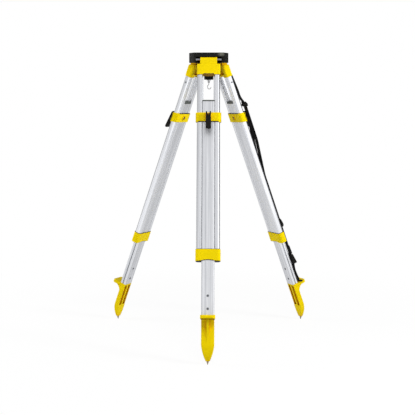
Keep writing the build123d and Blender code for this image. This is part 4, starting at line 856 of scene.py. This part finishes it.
def make_screws():
    """The fixing screw with its thread, the screws' heads on the legs and the grub screws in the head."""
    screw = threaded_screw("fixing_screw_thread")
    finish_piece(screw, "steel", "screw")
    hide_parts("fixing_screw")
    for leg in LEGS:
        across, out, down = leg_axes(leg)[1:]
        heads = [screw_head(on_leg(leg, side * RAIL_SCREW_SIDE, 0.0, RAIL_SCREW_DROP), out, down,
                            side * across, RAIL_SCREW_RADIUS, RAIL_SCREW_HEIGHT, RAIL_SCREW_CROWN)
                 for side in (-1, 1)]
        rail_screws = skin(f"{leg}_leg_rail_screw_heads", heads, smooth_angle=35)
        finish_piece(rail_screws, "steel", f"{leg}_leg", GREY_STEEL)
        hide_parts(f"{leg}_leg_rail_screws")
        heads = [screw_head(on_leg(leg, 0.0, side * FOOT_SCREW_OUT, drop), across, down, side * out,
                            FOOT_SCREW_RADIUS, FOOT_SCREW_HEIGHT, FOOT_SCREW_CROWN)
                 for side in (-1, 1) for drop in FOOT_SCREW_DROPS]
        foot_screws = skin(f"{leg}_leg_foot_screw_heads", heads, smooth_angle=35)
        finish_piece(foot_screws, "steel", f"{leg}_tube", FOOT_STEEL)
        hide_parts(f"{leg}_leg_foot_rivets")
    up = np.array([0.0, 0.0, 1.0])
    ends = []
    for bearing in np.radians(GRUB_BEARINGS):
        normal = np.array([np.cos(bearing), np.sin(bearing), 0.0])
        along = np.cross(up, normal)
        ends += [grub_screw(GRUB_OUT * normal + height * up, along, up, normal) for height in GRUB_LEVELS]
    grubs = skin("head_grub_screws", ends, smooth_angle=30)
    finish_piece(grubs, "steel", "head", DARK_STEEL)


def make_shade_strips():
    """Dark strips of painted shade in each clamp's notches and slits, and dark beads of painted shade on and under
    each lower collar.
    """
    for leg in LEGS:
        # Dark strips as painted shade in the clamp's notches and slits
        strips = skin(f"{leg}_clamp_shade_strips", [shade_strip(leg, *shade_strip_ends) for shade_strip_ends in SHADE_STRIPS])
        finish_piece(strips, "black_plastic", f"{leg}_tube", GAP_SHADE_PAINT)
        # Dark beads as painted shade at the collar's top and under its arch
        shade_beads = skin(f"{leg}_collar_shade_beads", [collar_top_shade(leg), collar_arch_shade(leg, 1), collar_arch_shade(leg, -1)])
        finish_piece(shade_beads, "black_plastic", f"{leg}_leg", GAP_SHADE_PAINT)


# Studio

def make_stage():
    """A pale floor: white to the camera and in reflections, with a faint shadow that fades from the feet."""
    half = FLOOR_HALF_SIZE
    ground = cad_box[0].z
    mesh = bpy.data.meshes.new("studio_floor")
    corners = [(-half, -half, ground), (half, -half, ground), (half, half, ground), (-half, half, ground)]
    mesh.from_pydata(corners, [], [(0, 1, 2, 3)])
    floor = bpy.data.objects.new("studio_floor", mesh)
    bpy.context.scene.collection.objects.link(floor)
    material = bpy.data.materials.new("studio_white")
    material.use_nodes = True
    tree = material.node_tree
    tree.nodes.clear()
    where = own_place(tree)
    path = place(tree, "ShaderNodeLightPath").outputs
    apart = place(tree, "ShaderNodeVectorMath", {0: where, 1: (0.0, 0.0, ground)}, operation="DISTANCE")
    clear = ranged(tree, apart.outputs["Value"], *SHADOW_RUN, SHADOW_CLEAR, 1.0, curve="SMOOTHSTEP")
    far = place(tree, "ShaderNodeSeparateXYZ", {"Vector": where}).outputs["Y"]
    depth = ranged(tree, far, *FLOOR_MIRROR_RUN)
    mirrored = blend_colour(tree, depth, grey(FLOOR_MIRRORED_NEAR), grey(FLOOR_MIRRORED_FAR))
    paper = blend_colour(tree, path["Is Glossy Ray"], grey(1.0), mirrored)
    matt = place(tree, "ShaderNodeBsdfDiffuse", {"Color": grey(FLOOR_MATT)}).outputs[0]
    shaded = place(tree, "ShaderNodeBsdfDiffuse", {"Color": grey(1.0)}).outputs[0]
    white = place(tree, "ShaderNodeEmission", {"Color": paper, "Strength": 1.0}).outputs[0]
    backdrop = place(tree, "ShaderNodeMixShader", {0: clear, 1: shaded, 2: white}).outputs[0]
    seen = calculated(tree, "MAXIMUM", path["Is Camera Ray"], path["Is Glossy Ray"])
    seen = calculated(tree, "MAXIMUM", seen, path["Is Transmission Ray"])
    mixed = place(tree, "ShaderNodeMixShader", {0: seen, 1: matt, 2: backdrop}).outputs[0]
    place(tree, "ShaderNodeOutputMaterial", {"Surface": mixed})
    mesh.materials.append(material)


def make_world():
    """Soft light all round, white to the camera; reflections show a window in front and dark flags behind."""
    world = bpy.data.worlds.new("studio")
    bpy.context.scene.world = world
    world.use_nodes = True
    tree = world.node_tree
    tree.nodes.clear()
    where = place(tree, "ShaderNodeTexCoord").outputs["Generated"]
    parts = place(tree, "ShaderNodeSeparateXYZ", {"Vector": where}).outputs
    path = place(tree, "ShaderNodeLightPath").outputs
    sky = blend_colour(tree, ranged(tree, parts["Z"], 0.0, 0.9), SKY_LOW, SKY_HIGH)
    left = ranged(tree, parts["X"], -0.1, -0.7)
    right = ranged(tree, parts["X"], 0.3, 0.7)
    behind = ranged(tree, parts["Y"], -0.2, 0.05)
    front = blend_colour(tree, left, grey(FRONT_MIRRORED), grey(LEFT_MIRRORED))
    window = blend_colour(tree, right, front, grey(WINDOW_MIRRORED))
    flags = blend_colour(tree, right, grey(LEFT_FLAG), grey(RIGHT_FLAG))
    mirrored = blend_colour(tree, behind, window, flags)
    soft = place(tree, "ShaderNodeBackground", {"Color": sky, "Strength": 1.0}).outputs[0]
    gloss = place(tree, "ShaderNodeBackground", {"Color": mirrored, "Strength": 1.0}).outputs[0]
    white = place(tree, "ShaderNodeBackground", {"Color": grey(1.0), "Strength": 1.0}).outputs[0]
    lit = place(tree, "ShaderNodeMixShader", {0: path["Is Glossy Ray"], 1: soft, 2: gloss}).outputs[0]
    seen = calculated(tree, "MAXIMUM", path["Is Camera Ray"], path["Is Transmission Ray"])
    mixed = place(tree, "ShaderNodeMixShader", {0: seen, 1: lit, 2: white}).outputs[0]
    place(tree, "ShaderNodeOutputWorld", {"Surface": mixed})


def area_lamp(name, position, target, size, power):
    """A soft square lamp that faces a point; reflections show the world instead of it."""
    lamp = bpy.data.lights.new(name, "AREA")
    lamp.size = size
    lamp.energy = power
    holder = bpy.data.objects.new(name, lamp)
    bpy.context.scene.collection.objects.link(holder)
    holder.location = position
    holder.rotation_euler = (Vector(target) - Vector(position)).to_track_quat("-Z", "Y").to_euler()
    holder.visible_glossy = False


def make_camera():
    """The photograph's camera: level with the upper legs, tilted down a little, seen from the front."""
    data = bpy.data.cameras.new("photo_camera")
    data.sensor_width = SENSOR_WIDTH
    data.lens = FOCAL_PIXELS / IMAGE_PIXELS * SENSOR_WIDTH
    data.shift_x = -SIDE_SHIFT_PIXELS / IMAGE_PIXELS
    data.clip_end = CAMERA_REACH
    camera = bpy.data.objects.new("photo_camera", data)
    bpy.context.scene.collection.objects.link(camera)
    camera.location = Matrix.Rotation(CAMERA_TURN, 3, "Z") @ Vector((0, -CAMERA_DISTANCE, CAMERA_HEIGHT))
    camera.rotation_euler = (pi / 2 - CAMERA_TILT, 0, CAMERA_TURN)
    bpy.context.scene.camera = camera


make_camera()
dress_nodes()
make_upper_run()
make_lower_run()
make_tab()
make_tail()
make_screws()
make_shade_strips()
make_stage()
make_world()
for lamp in LAMPS:
    area_lamp(*lamp)
bpy.context.scene.view_settings.view_transform = "Standard"
